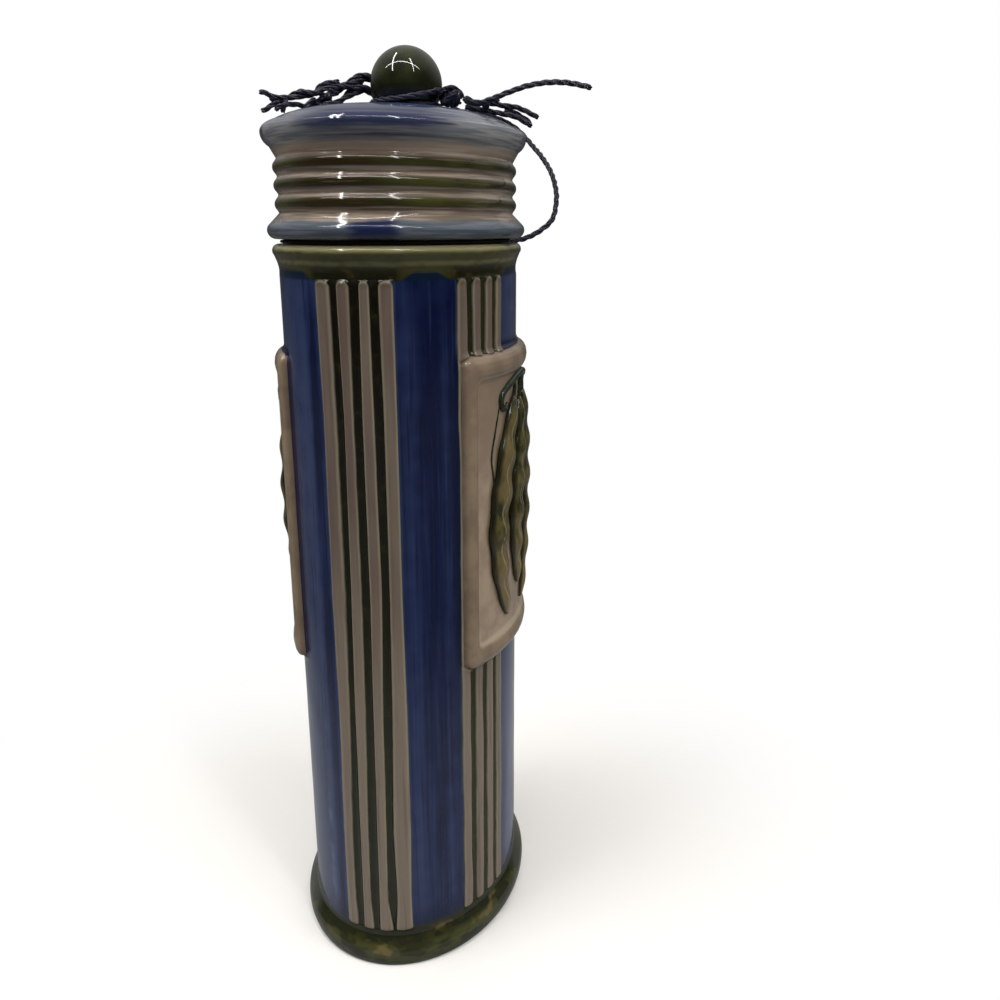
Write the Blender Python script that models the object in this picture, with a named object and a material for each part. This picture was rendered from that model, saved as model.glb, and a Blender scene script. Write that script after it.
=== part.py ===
"""Oval pasta canister in glazed earthenware, with a lift-off lid tied with twine.

Metres, +Z up. The origin is at the middle of the foot. X runs along the long way of
the oval, and the two broad sides, which carry the plaques, face -Y and +Y.
"""

import math

import bmesh
import bpy
import numpy as np

for thing in list(bpy.data.objects):
    bpy.data.objects.remove(thing, do_unlink=True)

mm = 0.001

# The whole object
half_length = 57.0 * mm
half_width = 41.0 * mm
total_height = 330.0 * mm
fit_gap = 0.3 * mm
smooth_ring_count = 44

# Body: a straight oval wall on a rolled foot, with a beaded rim
wall = 5.0 * mm
floor_height = 6.5 * mm
floor_fillet = 4.0 * mm
foot_reach = 4.0 * mm
foot_roll = 3.8 * mm
foot_cove_top = 12.4 * mm
foot_ring_width = 8.0 * mm
foot_recess = 1.2 * mm
rim_bead_radius = 2.2 * mm
rim_bead_reach = 1.9 * mm
rim_cove_height = 3.6 * mm
mouth_edge = 0.8 * mm

# Flutes: bands of four raised ridges with three grooves between them, one band on each end, two
# on the front and one on the middle of the back
ridge_count = 4
ridge_pitch = 7.05 * mm
ridge_width = 4.5 * mm
ridge_height = 1.2 * mm
groove_depth = 0.5 * mm
flute_bottom = 13.2 * mm
flute_drop = 12.6 * mm
ridge_end = 1.8 * mm
panel_step = 6.5 * mm

# Plaque: a raised tablet with a rolled border, one on each broad side
plaque_width = 85.0 * mm
plaque_height = 113.5 * mm
plaque_drop = 35.5 * mm
plaque_corner = 9.0 * mm
plaque_lift = 4.3 * mm
field_lift = 2.2 * mm
border_width = 6.2 * mm
field_corner = 2.8 * mm
corner_count = 4
plaque_columns = 14
# Each border ring: its share of the border's width inwards, and of the plaque's lift
border_shares = ((0.0, 0.33), (0.08, 0.65), (0.26, 0.91), (0.48, 1.0), (0.70, 0.93), (0.86, 0.74))

# Bean pods laid on the plaque's field
pod_width = 11.5 * mm
pod_dome = 3.4 * mm
pod_edge = 0.5 * mm
pod_end_width = 1.6 * mm
pod_stations = 22
pod_beans = 6
pod_swell_share = 0.10
pod_top_drop = 17.5 * mm
pod_bottom_rise = 14.0 * mm
pod_length = plaque_height - pod_top_drop - pod_bottom_rise
# Each pod: its name, and points down it, across from the middle as shares of the field's
# half width and down as shares of the pod's length
pod_route_shares = {
    "left": ((-0.26, 0.0), (-0.47, 0.20), (-0.66, 0.52), (-0.62, 0.78), (-0.45, 1.0)),
    "centre": ((-0.03, 0.02), (-0.08, 0.22), (-0.21, 0.50), (-0.20, 0.72), (-0.09, 0.90)),
    "right": ((0.20, 0.0), (0.36, 0.22), (0.42, 0.52), (0.31, 0.80), (0.13, 1.02)),
}

# Stem across the tops of the pods, with a curl at each end
stem_width = 2.4 * mm
stem_tip_share = 0.55
stem_rise = 4.0 * mm
stem_sag = 5.0 * mm
stem_half_reach = 20.0 * mm
curl_radius = 3.6 * mm
curl_turn_share = 0.62
stem_half_count = 8
curl_count = 9

# Lid: a hollow cap with a beaded foot, roped sides, a rolled shoulder and a low dome
seal_thickness = 1.0 * mm
seal_outer_inset = 0.9 * mm
collar_clearance = 1.0 * mm
collar_depth = 8.2 * mm
collar_wall = 3.0 * mm
lid_wall = 5.2 * mm
lid_bead_radius = 2.75 * mm
lid_bead_reach = 3.1 * mm
rope_start = 8.3 * mm
rope_pitch = 5.85 * mm
rope_count = 3
rope_valley = 1.25 * mm
rope_crest = 0.1 * mm
shoulder_rise = 7.95 * mm
shoulder_radius = 4.7 * mm
shoulder_reach = 3.4 * mm
shoulder_height = 4.9 * mm
dome_rise = 2.9 * mm
dome_power = 6
dome_ring_shares = (0.97, 0.9, 0.8, 0.66, 0.45)
crown = 6.7 * mm
hollow_fillet = 4.5 * mm
seat_radius = 10.6 * mm

# Knob: a ball seated on the dome, a little off the lid's middle
knob_radius = 12.35 * mm
knob_rise = 9.15 * mm
knob_offset = -3.4 * mm

# Heights, stacked down from the top of the knob to the rim and the plaque
knob_middle = total_height - knob_radius
knob_seat = knob_middle - knob_rise
dome_top = knob_seat - fit_gap
hollow_top = dome_top - crown
dome_edge = dome_top - dome_rise
shoulder_middle = dome_edge - shoulder_height
rope_bottom = shoulder_middle - shoulder_rise - rope_count * rope_pitch
lid_bottom = rope_bottom - rope_start
rim_height = lid_bottom - seal_thickness - 2 * fit_gap
flute_top = rim_height - flute_drop
plaque_top = rim_height - plaque_drop
plaque_bottom = plaque_top - plaque_height

# Twine
twine = 1.8 * mm
twine_gap = 0.5 * mm
wrap_turns = 1.55
wrap_start_deg = 38.0
wrap_climb_start_deg = 510.0
wrap_climb_deg = 11.0
loop_count = 24
route_step = 2.4 * twine

# Routes of the free strands, chosen by hand, in millimetres from the lid's middle at the
# level of the knob's seat
wrap_lead = ((-6.8, -15.6, 6.3), (-5.9, -17.0, 5.9))
tail_right_long = (
    (-4.4, -24.3, 3.9), (-3.6, -26.6, 2.7), (-3.0, -31.3, 2.7), (-4.0, -36.0, 4.1),
    (-5.0, -41.4, 5.7), (-6.0, -46.7, 7.0), (-7.0, -53.3, 7.7), (-8.0, -59.5, 7.4),
    (-9.0, -65.0, 6.3), (-10.0, -68.3, 5.3),
)
tail_right_middle = (
    (-0.6, -24.2, 4.5), (2.0, -27.6, 3.1), (4.6, -32.3, 3.1), (6.4, -36.5, 2.5),
    (8.0, -40.8, 2.0), (9.2, -44.5, 0.6), (10.4, -48.2, -1.3),
)
tail_right_low = (
    (-1.4, -24.3, 1.4), (0.6, -29.1, 0.7), (2.0, -32.7, 0.2), (3.0, -37.6, -0.7),
    (3.8, -41.5, -1.6), (4.2, -44.9, -3.5), (4.4, -46.8, -4.6),
)
loop_right = (
    (0.8, -19.0, 1.7), (7.5, -21.0, 1.0), (15.0, -26.0, 0.9), (23.0, -32.0, -0.1),
    (28.6, -37.4, -2.9), (29.4, -41.6, -6.9), (26.0, -44.6, -9.9), (21.0, -47.8, -13.0),
    (14.0, -52.1, -18.4), (8.0, -54.7, -23.7), (3.0, -55.9, -28.9), (-2.0, -55.2, -35.3),
    (-5.4, -51.6, -39.1), (-8.6, -47.4, -41.5), (-11.8, -44.1, -42.4), (-16.8, -42.9, -42.5),
)
tail_left_upper = (
    (13.6, 6.6, 7.8), (12.1, 9.0, 10.7), (7.6, 12.9, 12.3), (4.0, 17.1, 10.8),
    (2.0, 21.6, 9.6), (0.0, 26.6, 8.4), (-2.0, 30.8, 6.4), (-3.0, 33.6, 5.9),
    (-4.0, 36.5, 5.4), (-5.0, 40.1, 5.4), (-6.0, 42.8, 5.5), (-7.0, 45.1, 6.6),
    (-8.0, 47.4, 7.1),
)
tail_left_lower = (
    (12.0, 9.0, 5.9), (9.8, 11.8, 7.6), (6.2, 13.9, 8.4), (4.0, 16.4, 7.3),
    (2.0, 19.5, 5.7), (0.0, 22.0, 4.1), (-1.0, 25.7, 3.4), (-1.4, 31.4, 2.4),
    (-3.0, 34.9, 3.1), (-6.6, 37.3, 2.9), (-8.4, 39.7, 2.1), (-8.6, 41.6, 0.9),
)
tail_left_short = (
    (13.4, 8.7, 2.7), (12.4, 13.4, 2.9), (10.0, 19.0, 3.3), (7.6, 23.0, 2.9),
    (5.4, 27.0, 1.7), (4.0, 30.5, 1.1),
)
tail_left_drop = (
    (-1.6, 29.2, 4.9), (-3.6, 30.0, 4.1), (-5.2, 31.0, 2.7), (-5.6, 31.6, 1.1),
)

# Knots: middle, from the same point, and half sizes, in millimetres
knots = {
    "twine_knot_right": ((-3.0, -19.8, 4.2), (3.6, 4.0, 3.2)),
    "twine_knot_rear": ((12.4, 5.4, 4.5), (2.6, 2.6, 2.6)),
    "twine_knot_left": ((0.3, 25.6, 5.75), (1.4, 2.2, 1.2)),
}


def colour(name, srgb, roughness, metallic=0.0):
    """A material from an sRGB colour, its roughness and how metallic it is."""
    material = bpy.data.materials.new(name)
    material.use_nodes = True
    shader = material.node_tree.nodes["Principled BSDF"]
    linear = [((c / 255 + 0.055) / 1.055) ** 2.4 for c in srgb]
    shader.inputs["Base Color"].default_value = (*linear, 1.0)
    shader.inputs["Roughness"].default_value = roughness
    shader.inputs["Metallic"].default_value = metallic
    return material


blue_glaze = colour("blue_glaze", (47, 60, 104), 0.18)
lid_glaze = colour("lid_glaze", (110, 108, 98), 0.16)
cream_glaze = colour("cream_glaze", (142, 126, 106), 0.22)
pod_green = colour("pod_green", (66, 68, 34), 0.28)
stem_green = colour("stem_green", (38, 50, 34), 0.30)
olive_glaze = colour("olive_glaze", (50, 54, 30), 0.10)
seal_black = colour("seal_black", (22, 20, 20), 0.70)
waxed_twine = colour("waxed_twine", (24, 24, 38), 0.60)

# Shares of the way round the oval, from its -X end by way of -Y
table_angles = np.linspace(0.0, 2 * math.pi, 5761)
table_steps = np.hypot(
    np.diff(-half_length * np.cos(table_angles)), np.diff(-half_width * np.sin(table_angles))
)
table_lengths = np.concatenate([[0.0], np.cumsum(table_steps)])
perimeter = table_lengths[-1]


def along_oval(shares, offset=0.0):
    """Plan points at shares of the way round the wall's oval, moved straight out by offset."""
    lengths = (np.asarray(shares, float) % 1.0) * perimeter
    angles = np.interp(lengths, table_lengths, table_angles)
    points = np.stack([-half_length * np.cos(angles), -half_width * np.sin(angles)], -1)
    normals = np.stack([-np.cos(angles) / half_length, -np.sin(angles) / half_width], -1)
    normals /= np.linalg.norm(normals, axis=-1, keepdims=True)
    return points + normals * np.asarray(offset)[..., None]


def ring(mesh, plan, height, shares):
    """One closed ring of points, with the shares that say where round the oval each one is."""
    return [mesh.verts.new((x, y, height)) for x, y in plan], list(shares)


def smooth_ring(mesh, offset, height):
    """A plain ring at one offset from the wall's oval."""
    shares = np.arange(smooth_ring_count) / smooth_ring_count
    return ring(mesh, along_oval(shares, offset), height, shares)


def skin(mesh, first, second):
    """Faces between two rings: quads when they match, else triangles in the order of shares."""
    (a, a_shares), (b, b_shares) = first, second
    if len(a) == len(b):
        for i in range(len(a)):
            mesh.faces.new((a[i - 1], a[i], b[i], b[i - 1]))
        return
    i = j = 0
    while i < len(a) or j < len(b):
        next_a = a_shares[i + 1] if i + 1 < len(a) else 1 + a_shares[0]
        next_b = b_shares[j + 1] if j + 1 < len(b) else 1 + b_shares[0]
        here_a, here_b = a[i % len(a)], b[j % len(b)]
        if j == len(b) or (i < len(a) and next_a <= next_b):
            mesh.faces.new((here_a, a[(i + 1) % len(a)], here_b))
            i += 1
        else:
            mesh.faces.new((here_a, b[(j + 1) % len(b)], here_b))
            j += 1


def arc(middle, radii, start_deg, end_deg, count):
    """Points (offset, height) along an arc; 0 degrees faces out and 90 degrees faces up."""
    turns = np.radians(np.linspace(start_deg, end_deg, count))
    return [
        (middle[0] + radii[0] * math.cos(t), middle[1] + radii[1] * math.sin(t)) for t in turns
    ]


def finish(name, mesh, material, sharp_deg=40.0):
    """Turns a closed surface into a named object, shaded smooth, with its faces outwards."""
    bmesh.ops.recalc_face_normals(mesh, faces=mesh.faces)
    data = bpy.data.meshes.new(name)
    mesh.to_mesh(data)
    mesh.free()
    data.materials.append(material)
    data.shade_smooth()
    data.set_sharp_from_angle(angle=math.radians(sharp_deg))
    thing = bpy.data.objects.new(name, data)
    bpy.context.scene.collection.objects.link(thing)
    return thing


def flute_layout():
    """Shares round the wall where the flutes need points, the height of each point off the
    wall as a share of its ridge or groove, and whether its band passes a plaque."""
    band_width = (ridge_count - 1) * ridge_pitch + ridge_width
    beside = (plaque_width - band_width) / 2 / perimeter
    band_middles = (0.0, 0.25 - beside, 0.25 + beside, 0.5, 0.75)
    dome_shares = (-1.0, -0.62, 0.0, 0.62, 1.0)
    rows = []
    for band, middle in enumerate(band_middles):
        for ridge in range(ridge_count):
            ridge_middle = (ridge - (ridge_count - 1) / 2) * ridge_pitch
            for across in dome_shares:
                place = middle + (ridge_middle + across * ridge_width / 2) / perimeter
                lift = ridge_height * math.sqrt(1 - across * across)
                outer_edge = (ridge == 0 and across == -1) or (
                    ridge == ridge_count - 1 and across == 1
                )
                if abs(across) == 1 and not outer_edge:
                    lift = -groove_depth
                rows.append((place % 1.0, lift, band not in (0, 3)))
        end = middle + band_width / 2 / perimeter
        following = band_middles[(band + 1) % len(band_middles)] + (band == len(band_middles) - 1)
        start = following - band_width / 2 / perimeter
        steps = math.ceil((start - end) * perimeter / panel_step)
        for k in range(1, steps):
            rows.append(((end + (start - end) * k / steps) % 1.0, 0.0, False))
    rows.sort()
    shares, lifts, beside_plaque = (np.array(column) for column in zip(*rows))
    return shares, lifts, beside_plaque


def canister_body():
    """The jar: foot, fluted wall, rim bead, mouth, inside wall and floor."""
    mesh = bmesh.new()
    foot_edge = foot_reach - foot_roll * 0.4
    below = [(-foot_ring_width - foot_recess, foot_recess), (-foot_ring_width, 0.0)]
    below += arc((foot_edge, foot_roll), (foot_roll * 0.4, foot_roll), -90, 62, 7)
    cove = arc((foot_reach, foot_cove_top), (foot_reach, foot_roll), 214, 180, 4)
    below += cove
    rings = [smooth_ring(mesh, offset, height) for offset, height in below]
    shares, lifts, beside_plaque = flute_layout()
    plaque_low, plaque_high = plaque_bottom - fit_gap, plaque_top + fit_gap
    heights = [
        (flute_bottom, 0.0, 0.0),
        (flute_bottom + ridge_end * 0.45, 0.75, 0.75),
        (flute_bottom + ridge_end, 1.0, 1.0),
        (plaque_low - ridge_end * 0.6, 1.0, 1.0),
        (plaque_low, 1.0, 0.0),
        (plaque_high, 1.0, 0.0),
        (plaque_high + ridge_end * 0.6, 1.0, 1.0),
        (flute_top - ridge_end, 1.0, 1.0),
        (flute_top - ridge_end * 0.45, 0.75, 0.75),
        (flute_top, 0.0, 0.0),
    ]
    for height, elsewhere, at_plaque in heights:
        offsets = lifts * np.where(beside_plaque, at_plaque, elsewhere)
        rings.append(ring(mesh, along_oval(shares, offsets), height, shares))
    bead_middle = rim_height - rim_bead_radius
    cove_bottom = bead_middle - rim_bead_radius - rim_cove_height
    above = [(0.0, (flute_top + cove_bottom) / 2), (0.0, cove_bottom)]
    bead_centre = rim_bead_reach - rim_bead_radius
    above += [(rim_bead_reach * 0.25, cove_bottom + rim_cove_height * 0.6)]
    above += arc((bead_centre, bead_middle), (rim_bead_radius, rim_bead_radius), -38, 90, 7)
    above += [(mouth_edge - wall, rim_height), (-wall, rim_height - mouth_edge)]
    above += [(-wall, floor_height + floor_fillet)]
    above += [(-wall - floor_fillet * 0.3, floor_height + floor_fillet * 0.3)]
    above += [(-wall - floor_fillet, floor_height)]
    rings += [smooth_ring(mesh, offset, height) for offset, height in above]
    for first, second in zip(rings, rings[1:]):
        skin(mesh, first, second)
    mesh.faces.new(rings[0][0])
    mesh.faces.new(rings[-1][0])
    return finish("canister_body", mesh, blue_glaze, 50.0)


def on_wall(middle_share, across, height, lift):
    """A point on a broad side: across and up in the wall's own surface, and off the wall."""
    plan = along_oval(middle_share + np.asarray(across) / perimeter, lift)
    height = np.broadcast_to(height, plan.shape[:-1])
    return np.concatenate([plan, height[..., None]], -1)


def tablet_chain(inset, corner):
    """The upper half of a rounded oblong's outline, from its left side to its right side."""
    half_across = plaque_width / 2 - inset
    half_up = (plaque_top - plaque_bottom) / 2 - inset
    turns = np.radians(np.linspace(180, 90, corner_count))
    left = np.stack(
        [corner - half_across + corner * np.cos(turns), half_up - corner + corner * np.sin(turns)], -1
    )
    inner = half_across - corner
    top = np.linspace(-inner, inner, plaque_columns + 1)[1:-1]
    top = np.stack([top, np.full(len(top), half_up)], -1)
    return np.concatenate([left, top, left[::-1] * (-1, 1)])


def plaque(name, middle_share):
    """A tablet that follows the broad side, with a rolled border round a lower field."""
    mesh = bmesh.new()
    middle = (plaque_top + plaque_bottom) / 2
    levels = [(0.0, fit_gap, plaque_corner)]
    for inwards, up in border_shares:
        inset = inwards * border_width
        levels.append((inset, up * plaque_lift, max(plaque_corner - inset, field_corner)))
    levels.append((border_width, field_lift, field_corner))
    chains = []
    for inset, lift, corner in levels:
        chain = tablet_chain(inset, corner)
        top = on_wall(middle_share, chain[:, 0], middle + chain[:, 1], lift)
        bottom = on_wall(middle_share, chain[:, 0], middle - chain[:, 1], lift)
        chains.append([[mesh.verts.new(point) for point in half] for half in (top, bottom)])
    for (top, bottom), (top_in, bottom_in) in zip(chains, chains[1:]):
        outer, inner = top + bottom[::-1], top_in + bottom_in[::-1]
        for i in range(len(outer)):
            mesh.faces.new((outer[i - 1], outer[i], inner[i], inner[i - 1]))
    for top, bottom in (chains[0], chains[-1]):
        for i in range(len(top) - 1):
            mesh.faces.new((top[i], top[i + 1], bottom[i + 1], bottom[i]))
    return finish(name, mesh, cream_glaze, 50.0)


def smooth_route(points, count):
    """Evenly spaced points on a smooth curve through the given points."""
    points = np.asarray(points, float)
    padded = np.concatenate([[2 * points[0] - points[1]], points, [2 * points[-1] - points[-2]]])
    t = np.linspace(0, 1, 17)[:-1, None]
    fine = []
    for p0, p1, p2, p3 in zip(padded, padded[1:], padded[2:], padded[3:]):
        fine.append(
            0.5
            * (
                2 * p1
                + (p2 - p0) * t
                + (2 * p0 - 5 * p1 + 4 * p2 - p3) * t**2
                + (3 * p1 - p0 - 3 * p2 + p3) * t**3
            )
        )
    fine = np.concatenate([*fine, points[-1:]])
    lengths = np.concatenate([[0], np.cumsum(np.linalg.norm(np.diff(fine, axis=0), axis=1))])
    wanted = np.linspace(0, lengths[-1], count)
    return np.stack([np.interp(wanted, lengths, column) for column in fine.T], -1)


def pod(name, middle_share, route_shares):
    """A bean pod: a low dome over a flat back, swelling over each bean and drawn in at its ends."""
    mesh = bmesh.new()
    field_half_width = plaque_width / 2 - border_width
    start = plaque_top - pod_top_drop
    route = [(across * field_half_width, start - down * pod_length) for across, down in route_shares]
    line = smooth_route(route, pod_stations)
    tangents = np.gradient(line, axis=0)
    tangents /= np.linalg.norm(tangents, axis=1, keepdims=True)
    sideways = np.stack([tangents[:, 1], -tangents[:, 0]], -1)
    along = np.linspace(0, 1, pod_stations)
    taper = np.sin(math.pi * along**0.85) ** 0.55
    swell = 1 + pod_swell_share * np.cos(2 * math.pi * pod_beans * along + math.pi)
    half_widths = pod_end_width / 2 + (pod_width - pod_end_width) / 2 * taper * swell
    domes = pod_dome * (0.3 + 0.7 * taper) * swell
    back = field_lift + fit_gap
    sections = [(-1.0, pod_edge, 0.0), (-0.72, pod_edge, 0.68), (-0.08, pod_edge, 1.0)]
    sections += [(0.66, pod_edge, 0.74), (1.0, pod_edge, 0.0)]
    sections += [(0.85, 0.0, 0.0), (0.0, 0.0, 0.0), (-0.85, 0.0, 0.0)]
    rings = []
    for across, edge, up in sections:
        place = line + sideways * (across * half_widths)[:, None]
        lift = back + edge + up * domes
        rings.append(on_wall(middle_share, place[:, 0], place[:, 1], lift))
    points = [[mesh.verts.new(point) for point in column] for column in np.stack(rings, 1)]
    for first, second in zip(points, points[1:]):
        for i in range(len(first)):
            mesh.faces.new((first[i - 1], first[i], second[i], second[i - 1]))
    mesh.faces.new(points[0])
    mesh.faces.new(points[-1])
    return finish(name, mesh, pod_green)


def tube(name, points, width, material, radii=None, resolution=2):
    """A round solid along a line of points; radii are shares of half its width."""
    curve = bpy.data.curves.new(name, "CURVE")
    curve.dimensions = "3D"
    curve.bevel_depth = width / 2
    curve.bevel_resolution = resolution
    curve.use_fill_caps = True
    spline = curve.splines.new("POLY")
    spline.points.add(len(points) - 1)
    radii = np.ones(len(points)) if radii is None else radii
    for knot, point, radius in zip(spline.points, points, radii):
        knot.co = (*point, 1.0)
        knot.radius = radius
    curve.materials.append(material)
    thing = bpy.data.objects.new(name, curve)
    bpy.context.scene.collection.objects.link(thing)
    return thing


def stem(name, middle_share):
    """The stem above the pods: a shallow bow that ends in a curl on each side."""
    base = plaque_top - pod_top_drop + stem_rise
    half_bow = np.linspace(0, 1, stem_half_count)
    across = stem_half_reach * half_bow
    height = base + stem_sag * (1 - half_bow**2)
    turns = np.radians(np.linspace(0, 360 * curl_turn_share, curl_count))[1:]
    shrink = np.linspace(1, 0.62, len(turns))
    lead = math.atan2(-2 * stem_sag, stem_half_reach)
    middle = np.array([across[-1], height[-1]]) + curl_radius * np.array(
        [math.sin(lead), -math.cos(lead)]
    )
    angles = lead + math.pi / 2 - turns
    curl = middle + curl_radius * shrink[:, None] * np.stack([np.cos(angles), np.sin(angles)], -1)
    half = np.concatenate([np.stack([across, height], -1), curl])
    line = np.concatenate([half[::-1] * (-1, 1), half[1:]])
    lift = field_lift + fit_gap + stem_width / 2
    points = on_wall(middle_share, line[:, 0], line[:, 1], lift)
    tips = np.abs(np.linspace(-1, 1, len(line)))
    radii = 1 - (1 - stem_tip_share) * tips**2
    return tube(name, points, stem_width, stem_green, radii)


def lid():
    """The hollow cap: collar, beaded foot, roped sides, rolled shoulder and dome."""
    mesh = bmesh.new()
    collar_out = -wall - collar_clearance
    collar_in = collar_out - collar_wall
    collar_bottom = lid_bottom - collar_depth
    hollow = -lid_wall - rope_valley
    inside = [(hollow - hollow_fillet, hollow_top)]
    inside += [(hollow - hollow_fillet * 0.3, hollow_top - hollow_fillet * 0.3)]
    inside += [(hollow, hollow_top - hollow_fillet), (hollow, rope_bottom - rope_pitch / 2)]
    inside += [(collar_in, lid_bottom), (collar_in, collar_bottom)]
    outside = [(collar_out, collar_bottom), (collar_out, lid_bottom)]
    bead = (lid_bead_reach - lid_bead_radius, lid_bottom + lid_bead_radius)
    outside += arc(bead, (lid_bead_radius, lid_bead_radius), -90, 52, 7)
    waves = np.arange(4 * rope_count + 1) / 4
    middle = (rope_crest - rope_valley) / 2
    swing = (rope_crest + rope_valley) / 2
    outside += [
        (middle - swing * math.cos(2 * math.pi * wave), rope_bottom + wave * rope_pitch)
        for wave in waves
    ]
    shoulder = (shoulder_reach - shoulder_radius, shoulder_middle)
    outside += arc(shoulder, (shoulder_radius, shoulder_radius), -62, 74, 8)
    rings = [smooth_ring(mesh, offset, height) for offset, height in inside + outside]
    shares = rings[0][1]
    for size in dome_ring_shares:
        height = dome_edge + dome_rise * (1 - size**dome_power)
        rings.append(ring(mesh, along_oval(shares) * size, height, shares))
    plan = along_oval(shares)
    plan *= seat_radius / np.linalg.norm(plan, axis=1, keepdims=True)
    rings.append(ring(mesh, plan, dome_top, shares))
    for first, second in zip(rings, rings[1:]):
        skin(mesh, first, second)
    mesh.faces.new(rings[0][0])
    mesh.faces.new(rings[-1][0])
    return finish("lid", mesh, lid_glaze, 50.0)


def knob():
    """A ball with a flat seat cut where it meets the dome."""
    mesh = bmesh.new()
    bmesh.ops.create_uvsphere(mesh, u_segments=28, v_segments=18, radius=knob_radius)
    bmesh.ops.translate(mesh, verts=mesh.verts, vec=(0, knob_offset, knob_middle))
    cut = bmesh.ops.bisect_plane(
        mesh,
        geom=mesh.verts[:] + mesh.edges[:] + mesh.faces[:],
        plane_co=(0, 0, knob_seat),
        plane_no=(0, 0, -1),
        clear_outer=True,
    )
    edges = [part for part in cut["geom_cut"] if isinstance(part, bmesh.types.BMEdge)]
    bmesh.ops.edgeloop_fill(mesh, edges=edges)
    return finish("lid_knob", mesh, olive_glaze)


def seal_ring():
    """The flat ring between the rim and the lid, held by the collar."""
    mesh = bmesh.new()
    inner = -wall - collar_clearance + fit_gap
    low = rim_height + fit_gap
    corners = [(-seal_outer_inset, low), (-seal_outer_inset, low + seal_thickness)]
    corners += [(inner, low + seal_thickness), (inner, low)]
    rings = [smooth_ring(mesh, offset, height) for offset, height in corners]
    for first, second in zip(rings, rings[1:] + rings[:1]):
        skin(mesh, first, second)
    return finish("seal_ring", mesh, seal_black)


def from_seat(points):
    """Places in the model for points in millimetres from the lid's middle at the knob's seat."""
    return np.array(points) * mm + (0.0, 0.0, knob_seat)


def wrap_line():
    """The twine round the foot of the knob: it climbs the ball a pitch each turn, then faster
    at the end, and leaves the ball for the right knot."""
    reach = knob_radius + fit_gap + twine / 2
    first_height = knob_seat + twine / 2
    start = math.acos((knob_middle - first_height) / reach)
    pitch = 2 * math.asin((twine + twine_gap) / 2 / reach)
    count = round(wrap_turns * loop_count) + 1
    turned = np.linspace(0, wrap_turns * 360, count)
    climb = np.clip((turned + wrap_start_deg - wrap_climb_start_deg) / 90, 0, 1)
    rise = start + pitch * turned / 360 + math.radians(wrap_climb_deg) * climb**2 * (3 - 2 * climb)
    around = np.radians(wrap_start_deg + turned)
    out = reach * np.sin(rise)
    height = knob_middle - reach * np.cos(rise)
    wound = np.stack([out * np.cos(around), out * np.sin(around) + knob_offset, height], -1)
    return np.concatenate([wound, from_seat(wrap_lead)])


def self_gap(line, width):
    """The least gap between stretches of a winding that are half a turn or more apart."""
    fine = smooth_route(line, 8 * len(line))
    apart = 8 * loop_count // 2
    gaps = [
        np.linalg.norm(fine[k + apart :] - point, axis=1).min()
        for k, point in enumerate(fine[:-apart])
    ]
    return min(gaps) - width


def strand(name, route):
    """A free strand of twine through a hand-chosen route."""
    route = from_seat(route)
    length = np.linalg.norm(np.diff(route, axis=0), axis=1).sum()
    line = smooth_route(route, round(length / route_step) + 1)
    return tube(name, line, twine, waxed_twine)


def knot(name, middle, half_sizes):
    """A tied knot as a plain rounded lump."""
    mesh = bmesh.new()
    bmesh.ops.create_uvsphere(mesh, u_segments=12, v_segments=8, radius=mm)
    bmesh.ops.scale(mesh, verts=mesh.verts, vec=half_sizes)
    bmesh.ops.translate(mesh, verts=mesh.verts, vec=from_seat(middle))
    return finish(name, mesh, waxed_twine, 80.0)


canister_body()
for side, side_share in (("front", 0.25), ("back", 0.75)):
    plaque(f"plaque_{side}", side_share)
    for pod_place, shares_down in pod_route_shares.items():
        pod(f"pod_{side}_{pod_place}", side_share, shares_down)
    stem(f"stem_{side}", side_share)

lifted = [lid(), knob(), seal_ring()]
wrap = wrap_line()
print(f"twine wrap: least gap to itself {self_gap(wrap, twine) / mm:.2f} mm")
lifted.append(tube("twine_wrap", wrap, twine, waxed_twine, resolution=1))
strands = {
    "twine_tail_right_long": tail_right_long,
    "twine_tail_right_middle": tail_right_middle,
    "twine_tail_right_low": tail_right_low,
    "twine_loop_right": loop_right,
    "twine_tail_left_upper": tail_left_upper,
    "twine_tail_left_lower": tail_left_lower,
    "twine_tail_left_short": tail_left_short,
    "twine_tail_left_drop": tail_left_drop,
}
lifted += [strand(name, route) for name, route in strands.items()]
lifted += [knot(name, *sizes) for name, sizes in knots.items()]

# Everything that lifts off with the lid hangs from one empty on the lift's axis
lid_lift = bpy.data.objects.new("lid_lift_axis", None)
lid_lift.location = (0, 0, lid_bottom)
bpy.context.scene.collection.objects.link(lid_lift)
bpy.context.view_layer.update()
for piece in lifted:
    piece.parent = lid_lift
    piece.matrix_parent_inverse = lid_lift.matrix_world.inverted()
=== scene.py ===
# Oval pasta canister in glazed earthenware, tied with waxed twine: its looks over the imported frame
import math

import bpy
import numpy as np
from mathutils import Matrix, Vector


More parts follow.
